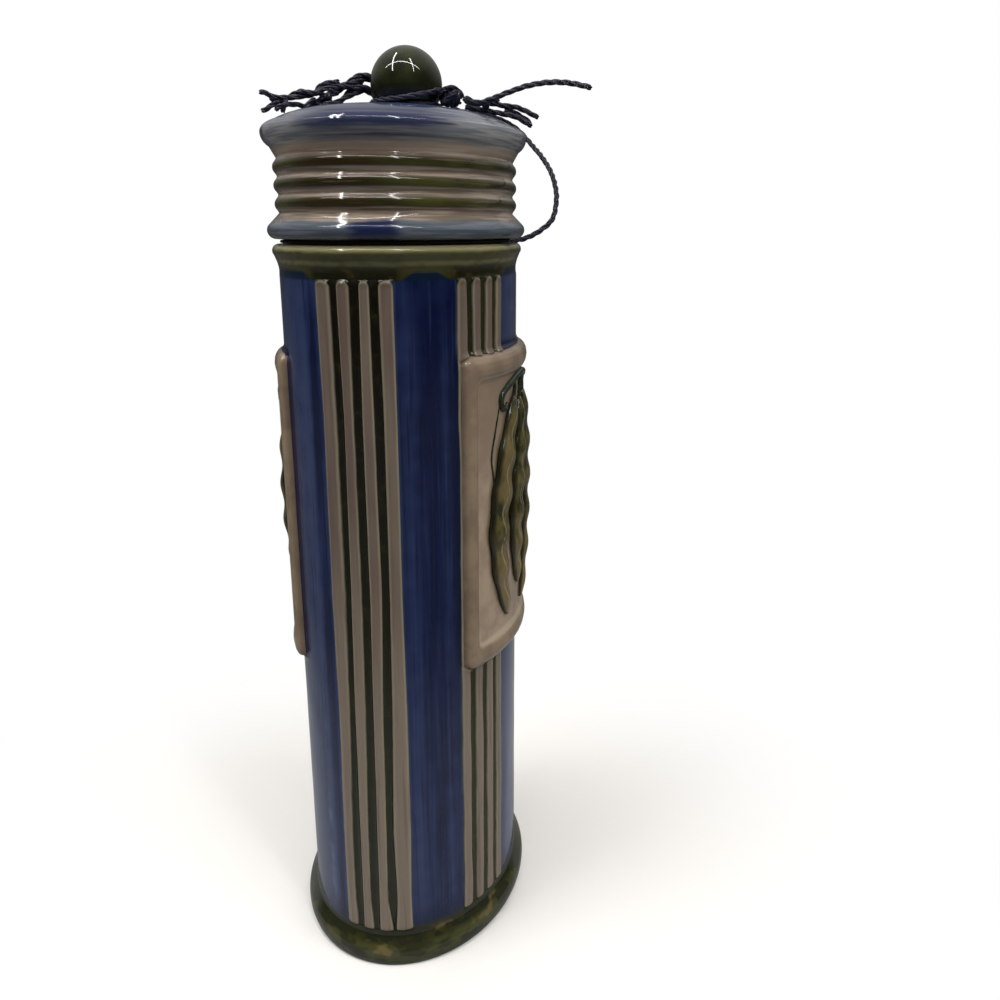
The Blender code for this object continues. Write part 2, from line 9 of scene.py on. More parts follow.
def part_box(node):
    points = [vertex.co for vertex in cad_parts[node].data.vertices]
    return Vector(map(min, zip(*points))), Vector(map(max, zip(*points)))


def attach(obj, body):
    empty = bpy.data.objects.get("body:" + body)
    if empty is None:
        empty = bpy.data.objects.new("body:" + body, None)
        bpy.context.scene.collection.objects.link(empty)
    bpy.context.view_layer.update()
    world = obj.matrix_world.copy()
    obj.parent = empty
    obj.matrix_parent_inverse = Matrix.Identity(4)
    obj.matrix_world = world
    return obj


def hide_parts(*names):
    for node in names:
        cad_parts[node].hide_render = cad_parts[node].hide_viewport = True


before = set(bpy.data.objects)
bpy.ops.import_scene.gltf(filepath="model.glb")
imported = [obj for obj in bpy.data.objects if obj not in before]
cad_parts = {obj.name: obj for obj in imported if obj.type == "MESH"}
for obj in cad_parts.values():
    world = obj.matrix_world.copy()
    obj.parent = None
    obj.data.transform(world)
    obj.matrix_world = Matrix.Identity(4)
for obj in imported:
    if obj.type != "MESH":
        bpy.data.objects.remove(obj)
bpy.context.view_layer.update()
mm = 0.001
fullTurn = 2 * math.pi
print("frame loaded")

# Camera at the photograph's angle, on a frame of 1000 x 1000
cameraFit = {
    "place": (-335.86 * mm, -95.51 * mm, 270.54 * mm),
    "heading": 10.0,  # degrees from +X towards +Y
    "pitch": 16.49,  # degrees below level
    "focalPixels": 922.96,
    "framePixels": 1000,
    "sensorWidth": 36.0,
}


def addCamera(fit):
    data = bpy.data.cameras.new("photoCamera")
    data.sensor_width = fit["sensorWidth"]
    data.lens = fit["focalPixels"] / fit["framePixels"] * fit["sensorWidth"]
    camera = bpy.data.objects.new("photoCamera", data)
    camera.location = fit["place"]
    camera.rotation_euler = (math.radians(90 - fit["pitch"]), 0.0, math.radians(fit["heading"] - 90))
    bpy.context.scene.collection.objects.link(camera)
    bpy.context.scene.camera = camera


addCamera(cameraFit)
bpy.context.scene.view_settings.view_transform = "Standard"
print("camera placed")

# Heights, read from the frame
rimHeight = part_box("canister_body")[1].z
plaqueBottom, plaqueTop = (corner.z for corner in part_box("plaque_front"))
plaqueMiddle, plaqueHalf = (plaqueTop + plaqueBottom) / 2, (plaqueTop - plaqueBottom) / 2
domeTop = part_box("lid")[1].z
knobLow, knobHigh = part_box("lid_knob")
knobSeat, knobTop = knobLow.z, knobHigh.z
knobAside, knobRadius = (knobLow.y + knobHigh.y) / 2, (knobHigh.y - knobLow.y) / 2
knobMiddle = knobTop - knobRadius


# Length of a path up to each of its points: the running sum of its steps
def lengthsAlong(path):
    return np.concatenate([[0.0], np.cumsum(np.linalg.norm(np.diff(path, axis=0), axis=1))])


def unit(vectors):
    return vectors / np.linalg.norm(vectors, axis=-1, keepdims=True)


# The wall's oval, which every ceramic piece follows
oval = {"halfLength": 57.0 * mm, "halfWidth": 41.0 * mm, "tableSteps": 5760}
halfSizes = np.array([oval["halfLength"], oval["halfWidth"]])
ovalAngles = np.linspace(0, fullTurn, oval["tableSteps"] + 1)
ovalLengths = lengthsAlong(halfSizes * np.stack([np.cos(ovalAngles), np.sin(ovalAngles)], -1))
perimeter = ovalLengths[-1]


# Plan points: share of the way round from -X by way of -Y gives the ellipse's angle by arc
# length, and the point is then moved out along the ellipse's normal by offset
def alongOval(share, offset=0.0):
    angles = np.interp(np.mod(share, 1.0) * perimeter, ovalLengths, ovalAngles)
    out = -np.stack([np.cos(angles), np.sin(angles)], -1)
    return out * halfSizes + unit(out / halfSizes) * np.asarray(offset)[..., None]


def atHeight(plan, height):
    return np.concatenate([plan, np.broadcast_to(height, plan.shape[:-1])[..., None]], -1)


# A point on a broad side: across and up along the wall's surface, lifted off it
def onWall(middleShare, across, height, lift):
    return atHeight(alongOval(middleShare + across / perimeter, lift), height)


# Profile of (offset, height) turned along the oval at the given shares; a size draws the oval in
def turned(share, profile, size=1.0):
    return atHeight(alongOval(share[None], profile[:, :1]) * size, profile[:, 1:])


# Circular arc in (offset, height): centre plus radius times cosine and sine; 0 degrees faces out
def arc(centre, radii, startDeg, endDeg, count):
    turn = np.radians(np.linspace(startDeg, endDeg, count))
    return np.array(centre) + np.array(radii) * np.stack([np.cos(turn), np.sin(turn)], -1)


# Catmull-Rom curve through the points, 24 to each stretch, resampled at even steps of its length
def smoothRoute(points, step):
    points = np.asarray(points, float)
    ends = 2 * points[0] - points[1], 2 * points[-1] - points[-2]
    p = np.concatenate([ends[0][None], points, ends[1][None]])
    t = np.linspace(0, 1, 25)[:-1, None, None]
    p0, p1, p2, p3 = p[:-3], p[1:-2], p[2:-1], p[3:]
    curve = 2 * p1 + (p2 - p0) * t + (2 * p0 - 5 * p1 + 4 * p2 - p3) * t**2
    curve = 0.5 * (curve + (3 * p1 - p0 - 3 * p2 + p3) * t**3)
    curve = np.concatenate([curve.transpose(1, 0, 2).reshape(-1, points.shape[1]), points[-1:]])
    lengths = lengthsAlong(curve)
    wanted = np.linspace(0, lengths[-1], max(2, round(lengths[-1] / step) + 1))
    return np.stack([np.interp(wanted, lengths, column) for column in curve.T], -1)


# Smooth pseudo-random wave of one number: a sum of sines with fixed phases, between -1 and 1
def wander(x, seed):
    phases = np.random.default_rng(seed).uniform(0, fullTurn, 4)
    return sum(np.sin(x * rate + phase) / 4 for rate, phase in zip((1.0, 1.73, 2.91, 4.37), phases))


# Eases from 0 at low to 1 at high: 3t2 - 2t3
def ease(low, high, x):
    t = np.clip((x - low) / (high - low), 0, 1)
    return t * t * (3 - 2 * t)


# Half round: the height of a unit circle over the way across
def halfRound(across):
    return np.sqrt(np.clip(1 - across**2, 0, 1))


# Vertex indices of quads between neighbouring rows and columns, each row closed on itself
def gridQuads(rows, columns):
    index = np.arange(rows * columns).reshape(rows, columns)
    following = np.roll(index, -1, axis=1)
    return np.stack([index[:-1], following[:-1], following[1:], index[1:]], -1).reshape(-1, 4)


# Puts whole arrays of points and faces into a mesh object at the world's origin
def addMesh(name, points, faces, values, material):
    data = bpy.data.meshes.new(name)
    data.vertices.add(len(points))
    data.vertices.foreach_set("co", points.astype(np.float32).ravel())
    sizes = np.concatenate([np.full(len(group), group.shape[1]) for group in faces])
    data.loops.add(int(sizes.sum()))
    corners = np.concatenate([group.ravel() for group in faces])
    data.loops.foreach_set("vertex_index", corners.astype(np.int32))
    data.polygons.add(len(sizes))
    data.polygons.foreach_set("loop_start", (np.cumsum(sizes) - sizes).astype(np.int32))
    for key, value in values.items():
        attribute = data.attributes.new(key, "FLOAT", "POINT")
        attribute.data.foreach_set("value", value.astype(np.float32))
    data.update(calc_edges=True)
    data.shade_smooth()
    data.materials.append(material)
    piece = bpy.data.objects.new(name, data)
    bpy.context.scene.collection.objects.link(piece)
    return piece


# One mesh of closed grids of points, each with values by name for its points; a fan closes each
# grid at either end, about a pole that is the mean of the end row and has its mean value, times a
# share
def addGrids(name, parts, material, poleShare=1.0):
    points, faces, flat, start = [], [], {}, 0
    for grid, values in parts:
        rows, columns = grid.shape[:2]
        count = rows * columns
        points += [grid.reshape(-1, 3), grid[[0, -1]].mean(1)]
        ring = np.arange(columns)
        following = np.roll(ring, -1)
        opening = np.stack([np.full(columns, count), following, ring], -1)
        closing = np.stack([np.full(columns, columns + 1), ring, following], -1) + count - columns
        faces += [start + group for group in (gridQuads(rows, columns), opening, closing)]
        start += count + 2
        for key, value in values.items():
            value = np.broadcast_to(value, (rows, columns))
            poles = poleShare * value[[0, -1]].mean(1)
            flat.setdefault(key, []).append(np.append(value.ravel(), poles))
    flat = {key: np.concatenate(value) for key, value in flat.items()}
    return addMesh(name, np.concatenate(points), faces, flat, material)


# Two axes carried along a path without twist: each is the last one, less what lies along the path
def carriedAxes(path):
    tangents = unit(np.gradient(path, axis=0))
    side = np.cross(tangents[0], (0.0, 0.0, 1.0))
    if np.linalg.norm(side) < 0.1:
        side = np.cross(tangents[0], (1.0, 0.0, 0.0))
    sides = []
    for tangent in tangents:
        side = unit(side - tangent * np.dot(side, tangent))
        sides.append(side)
    return np.array(sides), np.cross(tangents, sides)


# Directions round a path: its first axis times the cosine plus its second times the sine
def roundAbout(angles, axes):
    return np.cos(angles)[..., None] * axes[0] + np.sin(angles)[..., None] * axes[1]


# Round tube: a ring of the radius about each point of the path
def tubeGrid(path, radius, sides):
    axes = [axis[:, None] for axis in carriedAxes(path)]
    around = np.linspace(0, fullTurn, sides, endpoint=False)[None]
    return path[:, None] + np.broadcast_to(radius, len(path))[:, None, None] * roundAbout(around, axes)


# sRGB hex to linear red, green, blue and alpha
def linear(hexColour):
    channels = [int(hexColour[i : i + 2], 16) / 255 for i in (1, 3, 5)]
    return (*[c / 12.92 if c <= 0.04045 else ((c + 0.055) / 1.055) ** 2.4 for c in channels], 1.0)


# Adds a node with its settings; an input is a value or the socket that feeds it
def addNode(tree, kind, inputs=None, out=0, **settings):
    node = tree.nodes.new("ShaderNode" + kind)
    for key, value in settings.items():
        setattr(node, key, value)
    for key, value in (inputs or {}).items():
        if isinstance(value, bpy.types.NodeSocket):
            tree.links.new(value, node.inputs[key])
        else:
            node.inputs[key].default_value = value
    return node.outputs[out]


# Starts a material from a piece's dictionary: its node tree, its colours, and its masks by name,
# of which place and height are there for all. A noise has a size across, a size up and detail. A
# field is a value carried on the mesh, moved by the noise that it is listed under, times its swing
def startMaterial(name, values):
    material = bpy.data.materials.new(name)
    material.use_nodes = True
    tree = material.node_tree
    for key, value in values["shader"].items():
        tree.nodes["Principled BSDF"].inputs[key].default_value = value
    place = addNode(tree, "TexCoord", out=3)
    masks = {"place": place, "height": addNode(tree, "SeparateXYZ", {0: place}, out=2)}
    for noise, (across, up, detail) in values.get("noises", {}).items():
        scaled = addNode(tree, "Mapping", {0: place, 3: (1 / across, 1 / across, 1 / up)})
        masks[noise] = addNode(tree, "TexNoise", {"Vector": scaled, "Scale": 1.0, "Detail": detail})
    for noise, swings in values.get("swings", {}).items():
        centred = addNode(tree, "Math", {0: masks[noise], 1: 0.5}, operation="SUBTRACT")
        for field, swing in swings.items():
            carried = addNode(tree, "Attribute", out=2, attribute_name=field)
            moved = {0: centred, 1: swing, 2: carried}
            masks[field] = addNode(tree, "Math", moved, operation="MULTIPLY_ADD")
    colours = {key: linear(value) for key, value in values.items() if isinstance(value, str)}
    return values, material, tree, colours, masks


# Lays the colours of each mix over its base, each above the last: a colour comes in by its amount
# where its mask goes from low to high, eased as 3t2 - 2t3. The last mix is the shader's colour.
# Each bump rises by its mask, one upon the other
def finishMaterial(values, material, tree, colours, masks):
    shader = tree.nodes["Principled BSDF"]
    for name, (base, *layers) in values["mixes"].items():
        mixed = colours[base]
        for above, mask, low, high, amount in layers:
            share = {0: masks[mask], 1: low, 2: high, 3: 0.0, 4: amount}
            share = addNode(tree, "MapRange", share, interpolation_type="SMOOTHSTEP")
            blended = {0: share, 6: mixed, 7: colours[above]}
            mixed = addNode(tree, "Mix", blended, out=2, data_type="RGBA")
        colours[name] = mixed
    tree.links.new(mixed, shader.inputs["Base Color"])
    below = {"Strength": values.get("bumpStrength", 1.0)}
    for mask, distance in values.get("bumps", {}).items():
        below["Normal"] = addNode(tree, "Bump", {"Height": masks[mask], "Distance": distance, **below})
        tree.links.new(below["Normal"], shader.inputs["Normal"])
    return material


print("tools ready")

# Glaze: a fired earthenware glaze, glassy and slightly rippled, over brushed underglaze colour.
# Most of its fields are signed distances in millimetres, eased over a fraction of a millimetre,
# so that each painted edge is as soft as fired glaze
glaze = {
    "shader": {"Roughness": 0.09, "IOR": 1.5},
    "noises": {
        "streaks": (1.2 * mm, 46 * mm, 3.0),
        "blotches": (8.0 * mm, 60 * mm, 2.0),
        "speckle": (0.8 * mm, 0.8 * mm, 2.0),
        "mottle": (4.2 * mm, 3.4 * mm, 3.0),
        "wobble": (8.0 * mm, 8.0 * mm, 1.0),
        "pools": (11.0 * mm, 5.0 * mm, 2.0),
        "ripple": (5.0 * mm, 5.0 * mm, 2.0),
    },
    "swings": {
        "wobble": {
            "ridge": 0.22, "band": 0.3, "top": 1.8, "foot": 2.5, "plaque": 0.3, "sheenAndBrushMarks": 0.5,
            "inner": 0.0, "bare": 0.0,
        }
    },
    "heightSwing": 0.8 * mm,
    "bumps": {"ripple": 0.03 * mm, "streaks": 0.025 * mm},
    "blueDeep": "#030c2e",
    "blueMid": "#091a42",
    "blueLighter": "#25335a",
    "bluePale": "#414c68",
    "blueMist": "#6c7190",
    "cream": "#61524a",
    "creamLight": "#776c5c",
    "creamEdgeHighlight": "#8d8672",
    "creamFloorLit": "#867868",
    "grooveBrown": "#100b03",
    "grooveGreen": "#1c200a",
    "oliveDark": "#151305",
    "olive": "#2f2e12",
    "oliveLight": "#3e3d20",
    "amber": "#4f3a15",
    "rimPale": "#8a8460",
    "footCove": "#20240c",
    "footDark": "#1e2012",
    "footLight": "#484a29",
    "tan": "#6e5f3d",
    "teal": "#081a2a",
    "bisque": "#8a7c68",
    "inside": "#8d806c",
    # Each mix: its base, then its layers (colour, mask, low, high, amount)
    "mixes": {
        "blueBrushed": (
            "blueDeep",
            ("blueMid", "streaks", 0.36, 0.62, 1.0),
            ("blueLighter", "blotches", 0.46, 0.76, 0.45),
            ("blueDeep", "height", -0.13, -0.03, 0.88),
            # Paler blues where the painted sheen, painted floor light and brush marks lie
            ("blueLighter", "sheenAndBrushMarks", 0.0, 1.0, 0.85),
            ("bluePale", "sheenAndBrushMarks", 0.55, 1.2, 0.4),
            ("blueMist", "sheenAndBrushMarks", 1.15, 1.75, 0.8),
            ("bluePale", "streaks", 0.58, 0.78, 0.22),
            ("blueDeep", "streaks", 0.44, 0.30, 0.6),
            ("bluePale", "band", -1.0, -0.1, 0.35),
            ("teal", "height", -0.0112, -0.0099, 0.92),
            ("blueDeep", "foot", -13.0, -1.0, 0.7),
            # Deep blue beside the plaque: glaze pooled against it, and painted shade
            ("blueDeep", "beside", -4.2, -1.4, 0.92),
        ),
        "creamRidges": (
            "cream",
            ("creamLight", "blotches", 0.36, 0.7, 0.6),
            # Painted floor light: the ridges paler towards the bottom
            ("creamFloorLit", "height", -0.08, -0.17, 0.7),
            # Painted highlight along both edges of each ridge
            ("creamEdgeHighlight", "ridge", 1.1, 0.3, 0.75),
            ("cream", "streaks", 0.48, 0.3, 0.5),
            ("olive", "top", -3.4, -0.4, 0.6),
        ),
        "grooves": (
            "grooveGreen",
            ("grooveBrown", "height", -0.17, -0.05, 0.9),
            ("olive", "mottle", 0.52, 0.72, 0.5),
            ("oliveLight", "frontwards", -0.026, -0.036, 0.4),
            ("oliveLight", "speckle", 0.62, 0.78, 0.5),
        ),
        "collar": (
            "olive",
            ("oliveLight", "band", -2.0, -7.0, 0.6),
            ("oliveDark", "band", -3.0, 0.0, 0.92),
            ("amber", "mottle", 0.54, 0.7, 0.45),
            ("oliveLight", "height", -0.0076, -0.0058, 0.7),
            # A soft pale line low on the collar: a painted highlight along the ledge
            ("rimPale", "height", -0.0066, -0.0054, 0.35),
            ("oliveLight", "height", -0.0052, -0.0042, 0.9),
            ("olive", "mottle", 0.45, 0.62, 0.35),
            ("rimPale", "height", -0.0026, -0.0010, 0.9),
        ),
        "footRing": (
            "footDark",
            ("olive", "mottle", 0.4, 0.65, 0.8),
            ("footLight", "height", 0.0095 - rimHeight, 0.0072 - rimHeight, 0.6),
            ("footDark", "pools", 0.56, 0.44, 0.75),
            ("tan", "pools", 0.64, 0.74, 0.6),
            ("footCove", "foot", 3.0, 0.8, 0.8),
        ),
        "painted": (
            "blueBrushed",
            ("grooves", "band", -0.22, 0.22, 1.0),
            ("creamRidges", "ridge", -0.12, 0.3, 1.0),
            ("footCove", "foot", -1.6, -0.5, 0.85),
            ("collar", "top", -0.4, 0.9, 1.0),
            ("footRing", "foot", -0.5, 0.8, 1.0),
            ("inside", "inner", 0.4, 0.6, 1.0),
            ("bisque", "bare", 0.4, 0.6, 1.0),
        ),
    },
}


# Body glaze: the height is counted from the rim and wobbles; beside is the way in from the
# plaque's edge
def bodyGlaze():
    look = startMaterial("brushed_glaze_on_earthenware", glaze)
    _, _, tree, _, masks = look
    masks["frontwards"] = addNode(tree, "SeparateXYZ", {0: masks["place"]}, out=1)
    wobbled = {0: masks["wobble"], 1: glaze["heightSwing"], 2: masks["height"]}
    wobbled = addNode(tree, "Math", wobbled, operation="MULTIPLY_ADD")
    fromRim = {0: wobbled, 1: glaze["heightSwing"] / 2 + rimHeight}
    masks["height"] = addNode(tree, "Math", fromRim, operation="SUBTRACT")
    masks["beside"] = addNode(tree, "Math", {0: masks["plaque"], 1: -1.0}, operation="MULTIPLY")
    return finishMaterial(*look)


# Body: one closed turned surface, from under the foot, up outside, over the rim and down inside
body = {
    "ridgeCount": 4,
    "ridgePitch": 7.05 * mm,
    "ridgeWidth": 4.5 * mm,
    "ridgeHeight": 1.2 * mm,
    "grooveDepth": 0.55 * mm,
    "wornBand": 2,
    "wornRidges": (0.4, 0.7, 1.0, 1.0),
    "ridgeEnd": 1.9 * mm,
    "ridgeColumns": (-1, -0.97, -0.88, -0.68, -0.36, 0, 0.36, 0.68, 0.88, 0.97, 1),
    "grooveColumns": (0.25, 0.6, 1.0, 1.4, 1.75),
    "besideColumns": (0.35, 0.8, 1.4, 2.2),
    "panelStep": 1.7 * mm,
    "endRows": (0.0, 0.25, 0.6, 1.0, 1.5, 2.1, 3.0),
    "rowStep": 5.0 * mm,
    "fluteBottom": 13.2 * mm,
    "fluteDrop": 10.2 * mm,
    "wall": 5.0 * mm,
    "footReach": 4.0 * mm,
    "footRoll": 3.8 * mm,
    "footCoveTop": 12.4 * mm,
    "footRollShare": 0.4,
    "footRingWidth": 8.0 * mm,
    "footFlatEnd": 3.0 * mm,
    "footRecess": 1.2 * mm,
    "rimBeadRadius": 2.2 * mm,
    "rimBeadReach": 1.9 * mm,
    "rimCove": 3.6 * mm,
    "flareShare": 0.28,
    "bowlHeights": (180 * mm, 90 * mm),
    "mouthEdge": 0.8 * mm,
    "floorHeight": 6.5 * mm,
    "floorFillet": 4.0 * mm,
    "besideBands": 85.0 * mm,
    "plaqueWidth": 83.6 * mm,
    "plaqueCorner": 3.6 * mm,
    "plaqueFillet": 1.0 * mm,
    "plaqueOverlap": 1.5 * mm,
    "filletReach": 2.2 * mm,
    "handSwing": 0.12 * mm,
    # Edges of the collar and foot glaze, in millimetres: above the ridges, dip, climb, waves
    "topRise": 0.2,
    "topDip": 0.9,
    "topClimb": 2.8,
    "footDrop": 0.6,
    "footSwing": 0.9,
    "footWaves": 3,
    # Paler blue, a painted sheen on the side and the front and painted floor light low down: its
    # place and reach as shares of the way round, the heights, and amounts
    "sheenSide": (0.91, 0.85),
    "sheenFront": (0.24, 0.05, 1.3),
    "floorLitLow": (120 * mm, 25 * mm, 0.3),
    "marksEnd": (262 * mm, 225 * mm),
    # Trimmed: at each height, the shifts of the eight ridge edges of the near band
    "trim": {
        14.0: (-1.0, -0.5, -0.6, -0.9, -1.2, -0.4, -2.1, -0.1),
        28.0: (-0.9, -1.2, -0.5, -1.7, -1.0, -2.2, -1.3, -0.4),
        57.0: (-0.8, -1.0, -0.4, -1.5, -0.8, -1.7, -1.9, 0.2),
        105.0: (-0.1, 0.5, -0.1, -0.4, -0.3, -1.2, -0.7, 0.2),
        150.0: (-0.4, 1.1, 0.6, 0.1, 0.3, 0.0, -0.1, -0.2),
        212.0: (0.2, 1.1, 1.2, 0.1, 0.3, -0.3, 0.1, 0.0),
        249.0: (-0.4, 0.8, 0.5, 0.3, 0.8, -0.5, -0.3, -0.1),
    },
    "trimElsewhere": 0.35 * mm,
    "trimFade": 5.0 * mm,
    # Brush marks beside the near band: where along the wall, how wide, and how thin
    "brushMarks": (
        (-16.4 * mm, 1.9 * mm, -1.0),
        (-21.5 * mm, 2.2 * mm, 0.25),
        (16.6 * mm, 2.4 * mm, 0.28),
        (24.5 * mm, 3.2 * mm, -0.3),
        (29.6 * mm, 1.3 * mm, 0.35),
    ),
}
ridgeHalf = body["ridgeWidth"] / 2
ridgeGap = body["ridgePitch"] / 2 - ridgeHalf
bandHalf = ((body["ridgeCount"] - 1) * body["ridgePitch"] + body["ridgeWidth"]) / 2
bandBeside = (body["besideBands"] / 2 - bandHalf) / perimeter
bandShares = np.array([0.0, 0.25 - bandBeside, 0.25 + bandBeside, 0.5, 0.75])
plaqueShares = {"front": 0.25, "back": 0.75}


# Signed way along the wall from each point to the nearest of the given middles, and which it is
def nearest(place, middles):
    away = place[:, None] - np.array(middles)[None] * perimeter
    away = (away + perimeter / 2) % perimeter - perimeter / 2
    which = np.abs(away).argmin(1)
    return away[np.arange(len(place)), which], which


# Column places: close together over each ridge and groove, wider over the plain panels
def bodyColumns():
    ridge = ridgeHalf * np.array(body["ridgeColumns"])
    groove = ridgeHalf + ridgeGap * np.array(body["grooveColumns"])
    middles = np.arange(body["ridgeCount"])[:, None] * body["ridgePitch"] - bandHalf + ridgeHalf
    beyond = bandHalf + mm * np.array(body["besideColumns"])
    local = np.concatenate([(middles + ridge).ravel(), (middles[:-1] + groove).ravel(), beyond, -beyond])
    columns = [share * perimeter + local for share in bandShares]
    for share, end in zip(bandShares, np.append(bandShares[1:], 1.0)):
        start, stop = share * perimeter + beyond[-1], end * perimeter - beyond[-1]
        count = round((stop - start) / body["panelStep"])
        columns.append(np.linspace(start, stop, count + 1)[1:-1])
    return np.unique(np.round(np.concatenate(columns) % perimeter, 7))


# Row heights of the wall: close together at the ends of ridges and plaques
def bodyRows(fluteTop):
    close = mm * np.array(body["endRows"])
    stops = [body["fluteBottom"] + close, fluteTop - close, plaqueTop + close, plaqueTop - close]
    stops += [plaqueBottom - close, plaqueBottom + close]
    stops += [np.arange(body["fluteBottom"] + 4 * mm, fluteTop - 3 * mm, body["rowStep"])]
    up = np.unique(np.round(np.concatenate(stops), 6))
    return up[np.concatenate([[True], np.diff(up) > 0.12 * mm])]


# Ridge edges shifted along the wall: each column takes the shifts of the edges beside it, and
# none beyond the fade; bands other than the near one wander a little
def trimmed(across, band, up):
    starts = np.arange(body["ridgeCount"]) * body["ridgePitch"] - bandHalf
    edges = np.stack([starts, starts + body["ridgeWidth"]], -1).ravel()
    knots = np.concatenate([[-bandHalf - body["trimFade"]], edges, [bandHalf + body["trimFade"]]])
    hats = np.stack([np.interp(across, knots, row) for row in np.eye(len(knots))[1:-1]])
    heights, table = np.array(list(body["trim"])) * mm, np.array(list(body["trim"].values())) * mm
    near = np.stack([np.interp(up, heights, column) for column in table.T], -1)
    moved = (near @ hats) * (band == 0)
    for which in range(1, len(bandShares)):
        edgeWander = wander(up[:, None] / (19 * mm) + np.arange(len(edges)) * 1.9, 20 + which)
        moved += (body["trimElsewhere"] * edgeWander @ hats) * (band == which)
    return moved


# Signed distance to a rounded oblong: outside it positive, from its half sizes and corner radius
def oblongDistance(across, up, halfAcross, halfUp, corner):
    x = np.abs(across) - (halfAcross - corner)
    y = np.abs(up) - (halfUp - corner)
    outside = np.hypot(np.maximum(x, 0), np.maximum(y, 0))
    return outside + np.minimum(np.maximum(x, y), 0) - corner


# Profiles below and above the fluted wall, as (offset, height) from the middle of the underside
# round to the middle of the inside floor; a size draws the oval in
def bodyProfiles():
    roll, reach, wall = body["footRoll"], body["footReach"], body["wall"]
    under = np.array([[-body["footRingWidth"] - body["footRecess"], body["footRecess"]]])
    flat = np.array([[-body["footRingWidth"], 0.0], [-body["footFlatEnd"], 0.0]])
    across = roll * body["footRollShare"]
    rolled = arc((reach - across, roll), (across, roll), -90, 62, 16)
    cove = arc((reach, body["footCoveTop"]), (reach, roll), 214, 180, 7)
    bead, beadReach, edge = body["rimBeadRadius"], body["rimBeadReach"], body["mouthEdge"]
    beadMiddle = rimHeight - bead
    rim = arc((beadReach - bead, beadMiddle), (bead, bead), -38, 90, 14)
    coveBottom = beadMiddle - bead - body["rimCove"]
    flare = [(0.0, coveBottom - 2 * mm), (0.0, coveBottom)]
    flare += [(beadReach * body["flareShare"], coveBottom + 2.2 * mm), rim[0]]
    flare = smoothRoute(flare, 0.8 * mm)[:-1]
    mouth = arc((edge - wall, rimHeight - edge), (edge, edge), 90, 180, 5)
    bowl = np.array([(-wall, height) for height in body["bowlHeights"]])
    fillet = body["floorFillet"]
    lowest = arc((-wall - fillet, body["floorHeight"] + fillet), (fillet, fillet), 0, -90, 7)
    lower = [(under, 0.25), (under, 0.6), (under, 1.0), (flat, 1.0), (rolled, 1.0), (cove, 1.0)]
    upper = [(flare, 1.0), (rim, 1.0), (mouth, 1.0), (bowl, 1.0), (lowest, 1.0)]
    return lower, upper + [(lowest[-1:], 0.7), (lowest[-1:], 0.35)]


